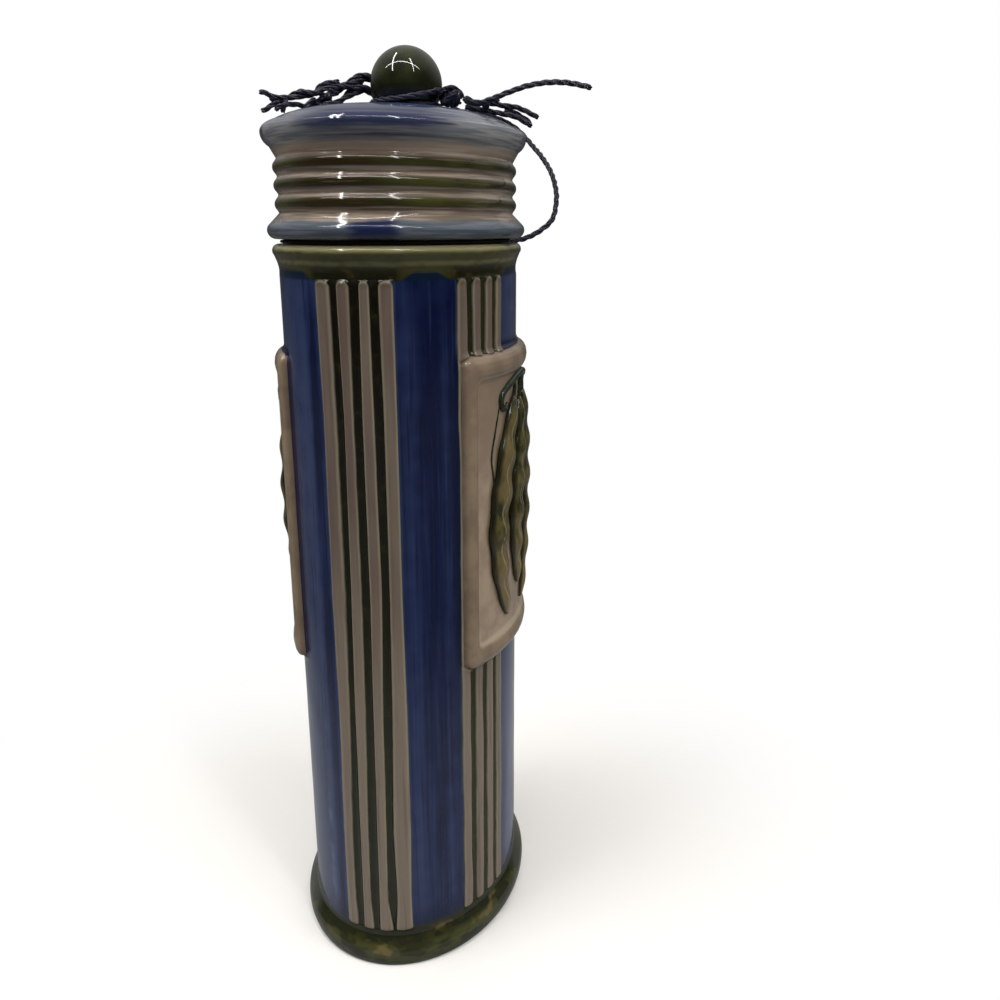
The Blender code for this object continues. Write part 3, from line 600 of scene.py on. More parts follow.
# Wall: a half round across each ridge, a shallow bow across each groove, times a rounded fade at
# the ridges' ends; the fields are distances in millimetres for the glaze
def makeBody(material):
    place = bodyColumns()
    share = place / perimeter
    across, band = nearest(place, bandShares)
    step = (across + bandHalf - ridgeHalf) / body["ridgePitch"]
    which = np.clip(np.round(step), 0, body["ridgeCount"] - 1)
    fromRidge = np.abs(step - which) * body["ridgePitch"]
    deep = np.clip((fromRidge - ridgeHalf) / ridgeGap, 0, 1)
    worn = np.where(band == body["wornBand"], np.array(body["wornRidges"])[which.astype(int)], 1.0)
    crown = body["ridgeHeight"] * halfRound(fromRidge / ridgeHalf) * worn
    sunk = -body["grooveDepth"] * deep * (2 - deep)
    inBand = np.abs(across) <= bandHalf + 1e-7
    relief = np.where(inBand, np.where(fromRidge <= ridgeHalf + 1e-7, crown, sunk), 0.0)

    # Rises from 0 to 1 over the ridge's end like a quarter circle
    def rounded(way):
        return halfRound(1 - np.clip(way / body["ridgeEnd"], 0, 1))

    fluteTop = rimHeight - body["fluteDrop"]
    up = bodyRows(fluteTop)
    free = rounded(up - body["fluteBottom"]) * rounded(fluteTop - up)
    overlap = body["plaqueOverlap"]
    past = np.maximum(rounded(up - plaqueTop + overlap), rounded(plaqueBottom + overlap - up))
    fade = np.where((band % 3 != 0)[None], (free * past)[:, None], free[:, None])
    overPlaque, _ = nearest(place, list(plaqueShares.values()))
    plaqueShape = body["plaqueWidth"] / 2, plaqueHalf, body["plaqueCorner"]
    away = oblongDistance(overPlaque[None], up[:, None] - plaqueMiddle, *plaqueShape)
    fillet = body["plaqueFillet"] * np.clip(1 - np.abs(away) / body["filletReach"], 0, 1) ** 2
    hand = body["handSwing"] * wander(up[:, None] / (17 * mm) + 3 * share[None] * fullTurn, 3)
    hand = hand * np.sin(np.pi * np.clip(up / rimHeight, 0, 1))[:, None]
    wallShare = share[None] + trimmed(across, band, up) / perimeter
    wallPlan = alongOval(wallShare, relief[None] * fade + fillet + hand)

    lower, upper = ([turned(share, *part) for part in parts] for parts in bodyProfiles())
    grid = np.concatenate([*lower, atHeight(wallPlan, up[:, None]), *upper])
    height, rowNumber = grid[..., 2], np.arange(len(grid))[:, None]
    firstWall = sum(len(rows) for rows in lower)
    wallRows = slice(firstWall, firstWall + len(up))
    bandField = (bandHalf - np.abs(across)) / mm
    bandGap = np.clip(-bandField, 0, None)[None]
    topEdge = fluteTop / mm + body["topRise"] - body["topDip"] * ease(0, 0.6, bandGap)
    topEdge = topEdge + body["topClimb"] * ease(0.6, 8.0, bandGap)
    footEdge = body["footSwing"] * np.sin(share * fullTurn * body["footWaves"])[None]
    footEdge = body["fluteBottom"] / mm - body["footDrop"] + footEdge
    beyondEnd = np.maximum(up - (fluteTop - ridgeHalf), body["fluteBottom"] + 0.6 * ridgeHalf - up)
    ridgeField = (ridgeHalf - np.hypot(fromRidge[None], np.maximum(beyondEnd, 0)[:, None])) / mm
    ridges, plaqueField = np.full(grid.shape[:2], -3.0), np.full(grid.shape[:2], 60.0)
    ridges[wallRows] = np.where(inBand[None], ridgeField, -3.0)
    plaqueField[wallRows] = away / mm
    # Paler blue: painted sheen on the side and round the front plaque, painted floor light towards the
    # bottom, and the brush marks beside the near band
    (middle, amount), (high, low, lowAmount) = body["sheenSide"], body["floorLitLow"]
    sideways = ((1 + np.cos(fullTurn * (share - middle))) / 2) ** 4
    sheenAndBrushMarks = amount * sideways[None] + lowAmount * ease(high, low, height)
    middle, reach, amount = body["sheenFront"]
    sheenAndBrushMarks = sheenAndBrushMarks + amount * np.exp(-(((share - middle) / reach) ** 2))[None]
    marked = ease(*body["marksEnd"], height)
    for where, width, change in body["brushMarks"]:
        aside = (place - where + perimeter / 2) % perimeter - perimeter / 2
        sheenAndBrushMarks = sheenAndBrushMarks + change * np.exp(-((aside / width) ** 2))[None] * marked
    insideRows = sum(len(rows) for rows in upper[2:])
    values = {
        "ridge": ridges,
        "sheenAndBrushMarks": sheenAndBrushMarks,
        "band": bandField[None],
        "top": height / mm - topEdge,
        "foot": footEdge - height / mm,
        "plaque": plaqueField,
        "inner": (rowNumber >= len(grid) - insideRows + 2).astype(float),
        "bare": ((rowNumber >= 3) & (rowNumber < 5)).astype(float),
    }
    piece = addGrids("canisterBody", [(grid, values)], material)
    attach(piece, "canister")
    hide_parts("canister_body")


makeBody(bodyGlaze())
print("body made")

# Plaque: thin cream glaze over pinkish clay, with a painted highlight at the border's inner lip,
# painted shade on the field round the pods, and the field painted darker towards its top
plaqueBorder = 6.2 * mm
plaque = {
    "fieldCorner": 2.6 * mm,
    "lift": 4.3 * mm,
    "fieldLift": 2.2 * mm,
    "endBorder": 9.4 * mm,
    "crowns": {"front": 1.0, "back": 0.84},
    "sunk": 0.5 * mm,
    "backSunk": 1.2 * mm,
    "backRings": (75, 65, 55, 44, 29, 15, 0),
    "ringPoints": 240,
    "arcPoints": 8,
    "borderRings": 30,
    "fieldRings": 46,
    "fieldStart": 0.6 * mm,
    "fieldEnd": 35.1 * mm,
    "shadeReach": 3.0 * mm,
    "shadeAmount": 0.7,
    # The border's lift over the way in from the edge, as shares of its width and of the lift
    "shareIn": (0.0, 0.03, 0.10, 0.26, 0.48, 0.70, 0.86, 0.95, 1.0),
    "shareUp": (0.0, 0.45, 0.70, 0.92, 1.0, 0.93, 0.76),
    "shader": {"Roughness": 0.13, "IOR": glaze["shader"]["IOR"]},
    "noises": {
        "clouds": (9.0 * mm, 9.0 * mm, 3.0),
        "grain": (1.2 * mm, 1.2 * mm, 3.0),
        "ripple": (3.5 * mm, 3.5 * mm, 3.0),
    },
    "swings": {"clouds": {"inset": 0.4, "shade": 0.3}},
    "bumps": {"ripple": 0.035 * mm},
    "field": "#968370",
    "fieldLight": "#a8957f",
    "border": "#7b6a58",
    "borderLight": "#8a7863",
    # The brown of the painted shade round the pods, and of dark specks in the grain
    "hollow": "#413620",
    "lip": "#b5a992",
    "mixes": {
        "panel": (
            "field",
            ("fieldLight", "clouds", 0.35, 0.65, 1.0),
            # Painted shade: the field darker towards its top
            ("border", "height", plaqueTop - 60 * mm, plaqueTop - 15 * mm, 0.75),
            # Painted shade on the field round each pod
            ("hollow", "shade", 0.0, 1.0, 0.85),
        ),
        "painted": (
            "border",
            ("borderLight", "clouds", 0.35, 0.65, 1.0),
            # Painted highlight along the border's inner lip
            ("lip", "inset", plaqueBorder / mm - 1.6, plaqueBorder / mm - 0.8, 0.5),
            ("panel", "inset", plaqueBorder / mm - 0.5, plaqueBorder / mm + 0.1, 1.0),
            ("hollow", "grain", 0.62, 0.8, 0.12),
        ),
    },
}


# One ring of a rounded oblong drawn in by inset: sides, then quarter arcs, spaced by turn
def oblongRing(inset, corner):
    halfUp = plaqueHalf - inset - (plaque["endBorder"] - plaqueBorder) * min(inset / plaqueBorder, 1)
    halfAcross = body["plaqueWidth"] / 2 - inset
    corner = min(corner, halfAcross * 0.9)
    sideCount = plaque["ringPoints"] // 4 - plaque["arcPoints"]
    turn = np.radians(np.linspace(0, 90, plaque["arcPoints"], endpoint=False))
    points = []
    for quarter in range(4):
        out, beside = (halfAcross, halfUp) if quarter % 2 == 0 else (halfUp, halfAcross)
        length = beside - corner
        side = np.linspace(-length, length, sideCount, endpoint=False)
        way = np.stack([np.full(sideCount, out), side], -1)
        bend = np.stack([out - corner + corner * np.cos(turn), length + corner * np.sin(turn)], -1)
        c, s = ((1, 0), (0, 1), (-1, 0), (0, -1))[quarter]
        points.append(np.concatenate([way, bend]) @ np.array([[c, s], [-s, c]]))
    return np.concatenate(points)


# Pods: underglaze green brushed on them, thin along the seam, where its pale line is also a
# painted highlight, and dark where it pools
pods = {
    "width": 11.5 * mm,
    "dome": 3.4 * mm,
    "endWidth": 1.6 * mm,
    "beans": 6,
    "swellShare": 0.10,
    "beanShare": 0.16,
    "taperLean": 0.85,
    "taperPower": 0.55,
    "domeLeast": 0.3,
    "domePower": 0.8,
    "seamDepth": 0.3 * mm,
    "seamWidth": 0.45 * mm,
    "seamAside": 0.15,
    "seamSwing": 0.12,
    "seamPhase": 0.6,
    "lift": 0.15 * mm,
    "sunk": 0.4 * mm,
    "frontPoints": 25,
    "backPoints": 7,
    "topDrop": 17.5 * mm,
    "bottomRise": 14.0 * mm,
    "routeShares": {
        "left": ((-0.26, 0.0), (-0.47, 0.20), (-0.66, 0.52), (-0.62, 0.78), (-0.45, 1.0)),
        "centre": ((-0.03, 0.02), (-0.08, 0.22), (-0.21, 0.50), (-0.20, 0.72), (-0.09, 0.90)),
        "right": ((0.20, 0.0), (0.36, 0.22), (0.42, 0.52), (0.31, 0.80), (0.13, 1.02)),
    },
    "shader": {"Roughness": 0.17, "IOR": glaze["shader"]["IOR"]},
    "noises": {"mottle": (3.2 * mm, 5.0 * mm, 4.0), "cloud": (9 * mm, 14 * mm, 2.0)},
    "swings": {"mottle": {"seam": 0.2, "rim": 0.25, "along": 0.35}},
    "bumps": {"mottle": 0.06 * mm},
    "green": "#2b2b11",
    "greenLight": "#4c4825",
    "brown": "#786743",
    "dark": "#14170b",
    "seamPaleAndHighlight": "#958e70",
    "mixes": {
        "painted": (
            "green",
            ("greenLight", "mottle", 0.38, 0.62, 1.0),
            ("brown", "cloud", 0.46, 0.66, 0.65),
            ("brown", "along", 0.45, 0.95, 0.95),
            ("dark", "rim", 0.72, 0.97, 0.9),
            # Pale seam line: the green thin there, and a painted highlight
            ("seamPaleAndHighlight", "seam", -0.5, -0.15, 0.65),
        )
    },
}
fieldHalf = body["plaqueWidth"] / 2 - plaqueBorder
podTop = plaqueTop - pods["topDrop"]


# A pod's middle line on the plaque: across and up, in metres from the plaque's own middle line
def podLine(routeShares):
    length = podTop - plaqueBottom - pods["bottomRise"]
    return smoothRoute([(x * fieldHalf, podTop - y * length) for x, y in routeShares], 1.0 * mm)


# Taper along a pod from nought at both ends, and the beat of its beans
def podTaper(along):
    return np.sin(math.pi * along ** pods["taperLean"]) ** pods["taperPower"]


def podBeat(along):
    return np.cos(fullTurn * pods["beans"] * along + math.pi)


# Half width along a pod: its taper, swollen at each bean
def podHalfWidth(along):
    swell = 1 + pods["swellShare"] * podBeat(along)
    return pods["endWidth"] / 2 + (pods["width"] - pods["endWidth"]) / 2 * podTaper(along) * swell


# Border rings rise to the crown and fall to the field, by the table of shares, smoothed once;
# the painted shade falls off with the distance to the nearest pod
def makePlaque(side, material):
    insets = plaqueBorder + np.linspace(plaque["fieldStart"], plaque["fieldEnd"], plaque["fieldRings"])
    insets = np.concatenate([np.linspace(0, plaqueBorder, plaque["borderRings"]), insets])
    field = plaque["fieldLift"] / plaque["lift"]
    shareUp = np.array([*plaque["shareUp"], field + 0.06, field])
    shareUp[1:7] *= plaque["crowns"][side]
    lifts = np.interp(np.clip(insets / plaqueBorder, 0, 1), plaque["shareIn"], shareUp) * plaque["lift"]
    lifts = np.convolve(np.pad(lifts, 1, mode="edge"), [0.25, 0.5, 0.25], mode="valid")
    lifts[0] = -plaque["sunk"]
    corners = np.maximum(body["plaqueCorner"] - insets, plaque["fieldCorner"])
    rings = np.stack([oblongRing(i, c) for i, c in zip(insets, corners)])
    backRings = rings[list(plaque["backRings"])]
    lifts = np.concatenate([np.full(len(backRings), -plaque["backSunk"]), lifts])[:, None]
    inset = np.concatenate([np.zeros(len(backRings)), insets])[:, None] / mm
    rings = np.concatenate([backRings, rings])
    lifts = np.broadcast_to(lifts, rings.shape[:2])
    grid = onWall(plaqueShares[side], rings[..., 0], plaqueMiddle + rings[..., 1], lifts)
    shade = np.zeros(rings.shape[:2])
    for route in pods["routeShares"].values():
        line = podLine(route)[::3] - (0, plaqueMiddle)
        away = np.linalg.norm(rings[:, :, None] - line[None, None], axis=-1)
        away = (away - podHalfWidth(np.linspace(0, 1, len(line)))).min(-1)
        shade = np.maximum(shade, ease(plaque["shadeReach"], 0.0, away))
    shade = shade * (inset > plaqueBorder / mm - 0.5) * plaque["shadeAmount"]
    values = {"inset": inset, "shade": shade}
    piece = addGrids(f"plaque_{side}_glazed", [(grid, values)], material)
    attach(piece, "canister")
    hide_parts(f"plaque_{side}")


creamGlaze = finishMaterial(*startMaterial("cream_glaze_on_earthenware", plaque))
for side in plaqueShares:
    makePlaque(side, creamGlaze)
print("plaques made")


# Pod: across a half round, raised at each bean by a cosine along it, with a scored seam
def makePod(side, podName, material):
    line = podLine(pods["routeShares"][podName])
    tangents = unit(np.gradient(line, axis=0))
    sideways = np.stack([tangents[:, 1], -tangents[:, 0]], -1)
    along = np.linspace(0, 1, len(line))
    taper, halfWidth = podTaper(along)[:, None], podHalfWidth(along)[:, None]
    s = np.sin(np.linspace(-0.5, 0.5, pods["frontPoints"]) * math.pi)
    s = np.concatenate([s, np.linspace(1, -1, pods["backPoints"])[1:-1]])
    front = np.arange(len(s)) < pods["frontPoints"]
    bean = 1 + pods["beanShare"] * podBeat(along)[:, None] * halfRound(s)[None]
    dome = pods["dome"] * (pods["domeLeast"] + (1 - pods["domeLeast"]) * taper)
    up = dome * halfRound(s)[None] ** pods["domePower"] * bean
    wave = pods["seamSwing"] * np.cos(fullTurn * pods["beans"] * along + pods["seamPhase"])
    seamAway = np.abs(s[None] - pods["seamAside"] - wave[:, None]) * halfWidth
    up = up - pods["seamDepth"] * np.exp(-((seamAway / pods["seamWidth"]) ** 2)) * taper
    lift = plaque["fieldLift"] + np.where(front[None], pods["lift"] + up, -pods["sunk"])
    placeAt = line[:, None] + sideways[:, None] * (s[None] * halfWidth)[..., None]
    grid = onWall(plaqueShares[side], placeAt[..., 0], placeAt[..., 1], lift)[:, ::-1]
    values = {"seam": (-seamAway / mm)[:, ::-1], "rim": np.abs(s)[None, ::-1], "along": along[:, None]}
    piece = addGrids(f"pod_{side}_{podName}_glazed", [(grid, values)], material)
    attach(piece, "canister")
    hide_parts(f"pod_{side}_{podName}")


# Stem: dark green slip, thickly trailed
stem = {
    "width": 2.6 * mm,
    "rise": 3.0 * mm,
    "sag": 4.5 * mm,
    "halfReach": 20.0 * mm,
    "curlRadius": 3.6 * mm,
    "curlTurnShare": 0.62,
    "curlShrink": 0.62,
    "tipShare": 0.55,
    "stalkWidth": 1.7 * mm,
    "tendrilWidth": 0.75 * mm,
    "trailTipShare": 0.5,
    "handShare": 0.12,
    "liftShare": 0.2,
    "sides": 12,
    # Across as shares of the field's half width, and millimetres up from the stem's base
    "trails": {
        "stalk_left": ((-0.24, 3.0), (-0.25, -1.5), (-0.30, -6.5)),
        "stalk_centre": ((-0.02, 4.2), (-0.02, 0.0), (-0.04, -6.5)),
        "stalk_right": ((0.16, 3.6), (0.18, -0.5), (0.22, -6.5)),
        "tendril_left": ((-0.60, -2.0), (-0.70, -12.0), (-0.78, -22.0), (-0.74, -32.0), (-0.80, -42.0)),
        "tendril_right": ((0.60, -2.0), (0.66, -14.0), (0.74, -24.0), (0.72, -38.0), (0.80, -50.0)),
        "tendril_middle": ((0.10, 3.8), (0.12, -10.0), (0.08, -24.0), (0.14, -40.0)),
    },
    "shader": {"Roughness": 0.2, "IOR": glaze["shader"]["IOR"]},
    "noises": {"mottle": (1.6 * mm, 1.6 * mm, 3.0)},
    "bumps": {"mottle": 0.12 * mm},
    "dark": "#141b12",
    "light": "#2b3626",
    "mixes": {"painted": ("dark", ("light", "mottle", 0.3, 0.7, 1.0))},
}
stemBase = podTop + stem["rise"]


# Bow: height falls as the square of the way across; each curl is a shrinking arc at its end
def stemLine():
    reach, radius = stem["halfReach"], stem["curlRadius"]
    t = np.linspace(0, 1, 24)
    bow = np.stack([reach * t, stemBase + stem["sag"] * (1 - t**2)], -1)
    turn = np.radians(np.linspace(0, 360 * stem["curlTurnShare"], 24))[1:]
    shrink = np.linspace(1, stem["curlShrink"], len(turn))[:, None]
    lead = math.atan2(-2 * stem["sag"], reach)
    middle = bow[-1] + radius * np.array([math.sin(lead), -math.cos(lead)])
    angles = lead + math.pi / 2 - turn
    curl = middle + radius * shrink * np.stack([np.cos(angles), np.sin(angles)], -1)
    half = np.concatenate([bow, curl])
    return np.concatenate([half[::-1] * (-1, 1), half[1:]])


# A trailed line on the field: a tube along a route given across and up, thinner at its ends
def addTrail(name, side, line, width, tipShare, seed, material):
    tips = np.abs(np.linspace(-1, 1, len(line)))
    radius = width / 2 * (1 - (1 - tipShare) * tips**2)
    radius = radius * (1 + stem["handShare"] * wander(np.arange(len(line)) / 5, seed))
    lift = np.full(len(line), plaque["fieldLift"] + stem["liftShare"] * width)
    path = onWall(plaqueShares[side], line[:, 0], line[:, 1], lift)
    piece = addGrids(name, [(tubeGrid(path, radius, stem["sides"]), {})], material)
    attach(piece, "canister")
    return piece


def makeStem(side, material):
    size = stem["width"], stem["tipShare"]
    piece = addTrail(f"stem_{side}_trailed", side, stemLine(), *size, 5, material)
    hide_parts(f"stem_{side}")
    for number, (name, points) in enumerate(stem["trails"].items()):
        width = stem["stalkWidth"] if name.startswith("stalk") else stem["tendrilWidth"]
        line = smoothRoute([(x * fieldHalf, stemBase + y * mm) for x, y in points], 0.8 * mm)
        addTrail(f"{name}_{side}", side, line, width, stem["trailTipShare"], number, material)


greenPaint = finishMaterial(*startMaterial("green_underglaze", pods))
greenSlip = finishMaterial(*startMaterial("dark_green_slip", stem))
for side in plaqueShares:
    for podName in pods["routeShares"]:
        makePod(side, podName, greenPaint)
    makeStem(side, greenSlip)
print("pods and stems made")

# Lid: a hollow cap; zone is millimetres up its profile from the bead, and its glaze bands lie
# along it. Patches are brushed: each one's place and reach as shares of the way round
lid = {
    "beadRadius": 2.75 * mm,
    "beadReach": 3.1 * mm,
    "ropeStart": 8.3 * mm,
    "ropePitch": 5.85 * mm,
    "ropeCount": 3,
    "ropeValley": 1.25 * mm,
    "ropeCrest": 0.1 * mm,
    "ropeSharpness": 0.14,
    "collarDepth": 8.2 * mm,
    "collarWall": 3.0 * mm,
    "collarClearance": 1.0 * mm,
    "collarEdge": 0.6 * mm,
    "wall": 5.2 * mm,
    "shoulderRadius": 4.7 * mm,
    "shoulderReach": 3.4 * mm,
    "shoulderDrop": 7.8 * mm,
    "shoulderCrown": 2.9 * mm,
    "domePower": 5,
    "domeSizes": (0.985, 0.97, 0.945, 0.91, 0.86, 0.8, 0.72, 0.62, 0.5, 0.38, 0.28),
    "domeSeat": 5 * mm,
    "domeZone": 12,
    "crown": 6.7 * mm,
    "hollowFillet": 4.5 * mm,
    "handSwing": 0.15 * mm,
    "columns": 360,
    "patchEnds": (1.9, 0.1),
    "patches": {
        "beadPatch": ((0.024, 0.022), (0.34, 0.05), (0.53, 0.04), (0.71, 0.03)),
        "domePatch": ((0.026, 0.071), (0.30, 0.05), (0.48, 0.06), (0.68, 0.05), (0.86, 0.02)),
        "ropePatch": ((0.985, 0.045), (0.28, 0.05), (0.46, 0.04), (0.62, 0.06), (0.80, 0.03)),
    },
    "shader": {"Roughness": 0.1, "IOR": glaze["shader"]["IOR"]},
    "noises": {
        "strokes": (24 * mm, 0.9 * mm, 3.0),
        "broad": (16 * mm, 12 * mm, 2.0),
        "ripple": (3.6 * mm, 3.6 * mm, 2.0),
    },
    "swings": {
        "broad": {"zone": 2.4, "crest": 0.7, "ropePatch": 0.7, "inner": 0.0},
        "strokes": {"beadPatch": 1.1, "domePatch": 1.3},
    },
    "bumps": {"ripple": 0.022 * mm},
    "blue": "#10193a",
    "blueLight": "#474f6b",
    "blueTopSheen": "#40517e",
    "blueDark": "#101b3f",
    "grey": "#71747b",
    "greyLight": "#999997",
    "cream": "#6a5c4f",
    "creamLight": "#948575",
    "olive": "#26240b",
    "oliveLight": "#42411c",
    "brown": "#2a1d07",
    "slate": "#454c55",
    "slateLight": "#5f656d",
    "bisque": glaze["bisque"],
    "mixes": {
        "side": ("cream", ("creamLight", "strokes", 0.4, 0.65, 1.0)),
        "ropes": (
            "olive",
            ("oliveLight", "broad", 0.3, 0.7, 0.9),
            ("brown", "ropePatch", 0.2, 0.8, 0.85),
            ("cream", "strokes", 0.58, 0.72, 0.5),
        ),
        "bead": (
            "slate",
            ("slateLight", "strokes", 0.42, 0.65, 1.0),
            ("blueDark", "beadPatch", 0.2, 0.8, 0.95),
        ),
        "bare": ("grey", ("greyLight", "strokes", 0.42, 0.62, 1.0)),
        "dome": (
            "blue",
            ("blueLight", "strokes", 0.45, 0.7, 0.3),
            # Painted sheen: the dome's top lighter blue
            ("blueLight", "zone", 40.4, 42.4, 0.5),
            ("grey", "domePatch", 0.7, 0.1, 0.7),
            # Painted sheen over the dome's top
            ("blueTopSheen", "zone", 39.6, 41.8, 0.45),
        ),
        "lip": ("bare", ("blueDark", "domePatch", 0.25, 0.8, 0.9)),
        "shoulder": ("bare", ("blueDark", "domePatch", 0.25, 0.9, 0.5)),
        "painted": (
            "bead",
            ("side", "zone", 5.0, 6.4, 1.0),
            ("creamLight", "zone", 25.0, 27.4, 0.7),
            ("ropes", "crest", -0.35, 0.35, 1.0),
            ("shoulder", "zone", 27.6, 29.8, 1.0),
            ("lip", "zone", 31.4, 33.2, 1.0),
            ("dome", "zone", 34.1, 36.0, 1.0),
            ("bisque", "inner", 0.4, 0.6, 1.0),
        ),
    },
}


# Profile from the hollow's ceiling down inside, round the collar and up outside to the shoulder:
# the roped side's offset follows a cosine up the lid, lowest in each valley
def lidProfile(bottom, ropeBottom, shoulderMiddle):
    collarOut = -body["wall"] - lid["collarClearance"]
    collarIn = collarOut - lid["collarWall"]
    low, edge, fillet = bottom - lid["collarDepth"], lid["collarEdge"], lid["hollowFillet"]
    hollow = -lid["wall"] - lid["ropeValley"]
    inside = [*arc((hollow - fillet, domeTop - lid["crown"] - fillet), (fillet, fillet), 90, 0, 7)]
    inside += [(hollow, ropeBottom - 3 * mm), (collarIn, bottom), (collarIn, low + edge)]
    inside += [(collarIn + edge, low)]
    outside = [(collarOut - edge, low), (collarOut, low + edge), (collarOut, bottom)]
    bead = lid["beadRadius"]
    outside += [*arc((lid["beadReach"] - bead, bottom + bead), (bead, bead), -90, 52, 16)]
    wave = np.linspace(0, lid["ropeCount"], 14 * lid["ropeCount"] + 1)
    crest, valley, sharp = lid["ropeCrest"], lid["ropeValley"], lid["ropeSharpness"]
    swing, middle = (crest + valley) / 2, (crest - valley) / 2
    beat = np.cos(fullTurn * wave) + sharp * np.cos(2 * fullTurn * wave) - sharp
    outside += [*np.stack([middle - swing * beat, ropeBottom + wave * lid["ropePitch"]], -1)]
    shoulder = lid["shoulderRadius"]
    shoulderAt = (lid["shoulderReach"] - shoulder, shoulderMiddle)
    outside += [*arc(shoulderAt, (shoulder, shoulder), -62, 0, 11)]
    outside += [*arc(shoulderAt, (shoulder, lid["shoulderCrown"]), 6, 76, 12)]
    return np.array(inside + outside), len(inside)


# The dome's height falls as the fifth power of the way out
def makeLid(material):
    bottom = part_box("lid")[0].z + lid["collarDepth"]
    ropeBottom = bottom + lid["ropeStart"]
    ropeTop = ropeBottom + lid["ropeCount"] * lid["ropePitch"]
    shoulderMiddle = domeTop - lid["shoulderDrop"]
    domeEdge = shoulderMiddle + lid["shoulderCrown"]
    share = np.arange(lid["columns"]) / lid["columns"]
    profile, insideCount = lidProfile(bottom, ropeBottom, shoulderMiddle)
    hand = lid["handSwing"] * wander(share[None] * fullTurn * 2 + profile[:, 1:] / (9 * mm), 8)
    rows = atHeight(alongOval(share[None], profile[:, :1] + hand), profile[:, 1:])
    sizes = np.array(lid["domeSizes"])
    domeHeights = domeEdge + (domeTop - domeEdge) * (1 - sizes ** lid["domePower"])
    dome = atHeight(alongOval(share)[None] * sizes[:, None, None], domeHeights[:, None])
    seat = atHeight(lid["domeSeat"] * unit(alongOval(share)), domeTop)
    grid = np.concatenate([rows[:1] * (0.5, 0.5, 1.0), rows, dome, seat[None]])
    height = grid[..., 2]
    inwards = np.concatenate([np.zeros(len(rows) + 1), 1 - sizes, [1.0]])[:, None]
    roped = (height > ropeBottom) & (height < ropeTop)
    crest = -np.cos(fullTurn * (height - ropeBottom) / lid["ropePitch"])
    values = {
        "zone": height / mm - bottom / mm + lid["domeZone"] * inwards,
        "crest": np.where(roped, crest, -1.0),
        "inner": (np.arange(len(grid)) < insideCount + 4).astype(float)[:, None],
    }
    for key, patches in lid["patches"].items():
        middles, reaches = np.array(patches).T[..., None]
        away = np.abs((share - middles + 0.5) % 1.0 - 0.5)
        far, near = lid["patchEnds"]
        values[key] = ease(reaches * far, reaches * near, away).max(0)[None]
    piece = addGrids("lidGlazed", [(grid, values)], material)
    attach(piece, "lid")
    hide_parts("lid")


makeLid(finishMaterial(*startMaterial("banded_glaze_on_earthenware", lid)))
print("lid made")

# Knob: a thrown ball in dark olive glaze, glassy, with painted shade darkening it towards its foot
knob = {
    "sides": 96,
    "rows": 60,
    "handShare": 0.004,
    "poleAngle": 0.02,
    "shader": {"Roughness": 0.05, "IOR": glaze["shader"]["IOR"]},
    "noises": {"mottle": (5 * mm, 5 * mm, 4.0), "ripple": (3.2 * mm, 3.2 * mm, 1.0)},
    "bumps": {"ripple": 0.008 * mm},
    "olive": "#171a0b",
    "light": "#2b2e17",
    "dark": "#0a0b07",
    "mixes": {
        "painted": (
            "olive",
            ("light", "mottle", 0.3, 0.7, 1.0),
            # Painted shade towards the ball's foot
            ("dark", "height", knobSeat + 14 * mm, knobSeat + 3 * mm, 0.9),
        )
    },
}


# Ball: radius times sine and cosine of the polar angle, from the flat seat up to the pole
def makeKnob(material):
    seatAngle = math.acos((knobSeat - knobMiddle) / knobRadius)
    polar = np.linspace(seatAngle, knob["poleAngle"], knob["rows"])[:, None]
    around = np.linspace(0, fullTurn, knob["sides"], endpoint=False)[None]
    out = knobRadius * np.sin(polar) * (1 + knob["handShare"] * wander(around * 2 + polar, 12))
    plan = np.stack([out * np.cos(around), knobAside + out * np.sin(around)], -1)
    grid = atHeight(plan, knobMiddle + knobRadius * np.cos(polar))
    piece = addGrids("knobBall", [(grid, {})], material)
    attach(piece, "lid")
    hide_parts("lid_knob")


makeKnob(finishMaterial(*startMaterial("olive_glaze_ball", knob)))
print("knob made")

# Seal: a soft dark ring, a rounded oblong in section, pressed between the rim and the lid; its
# near-black rubber also stands in as painted shade for the gap under the lid
seal = {
    "outerInset": 0.9 * mm,
    "pastWall": 0.7 * mm,
    "thickness": 1.0 * mm,
    "powers": (0.4, 0.6),
    "sides": 16,
    "columns": 240,
    "shader": {"Roughness": 0.75, "IOR": 1.5},
    "noises": {"grime": (0.8 * mm, 0.8 * mm, 3.0)},
    "rubberAndGapShade": "#0c0a0a",
    "dust": "#1b1817",
    "mixes": {"painted": ("rubberAndGapShade", ("dust", "grime", 0.3, 0.8, 1.0))},
}


def makeSeal(material):
    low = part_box("seal_ring")[0].z
    outer, inner = -seal["outerInset"], -body["wall"] - seal["pastWall"]
    turn = np.linspace(0, fullTurn, seal["sides"], endpoint=False)
    waves = zip((np.cos(turn), np.sin(turn)), seal["powers"])
    out, rise = (np.sign(wave) * np.abs(wave) ** power for wave, power in waves)
    offset = (outer + inner) / 2 + (outer - inner) / 2 * out
    profile = np.stack([offset, low + seal["thickness"] / 2 * (1 + rise)], -1)
    ring = turned(np.arange(seal["columns"]) / seal["columns"], profile)
    quads = gridQuads(seal["sides"] + 1, seal["columns"]) % (seal["sides"] * seal["columns"])
    piece = addMesh("sealRing", ring.reshape(-1, 3), [quads], {}, material)
    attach(piece, "lid")
    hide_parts("seal_ring")


makeSeal(finishMaterial(*startMaterial("soft_seal_rubber", seal)))
print("seal made")

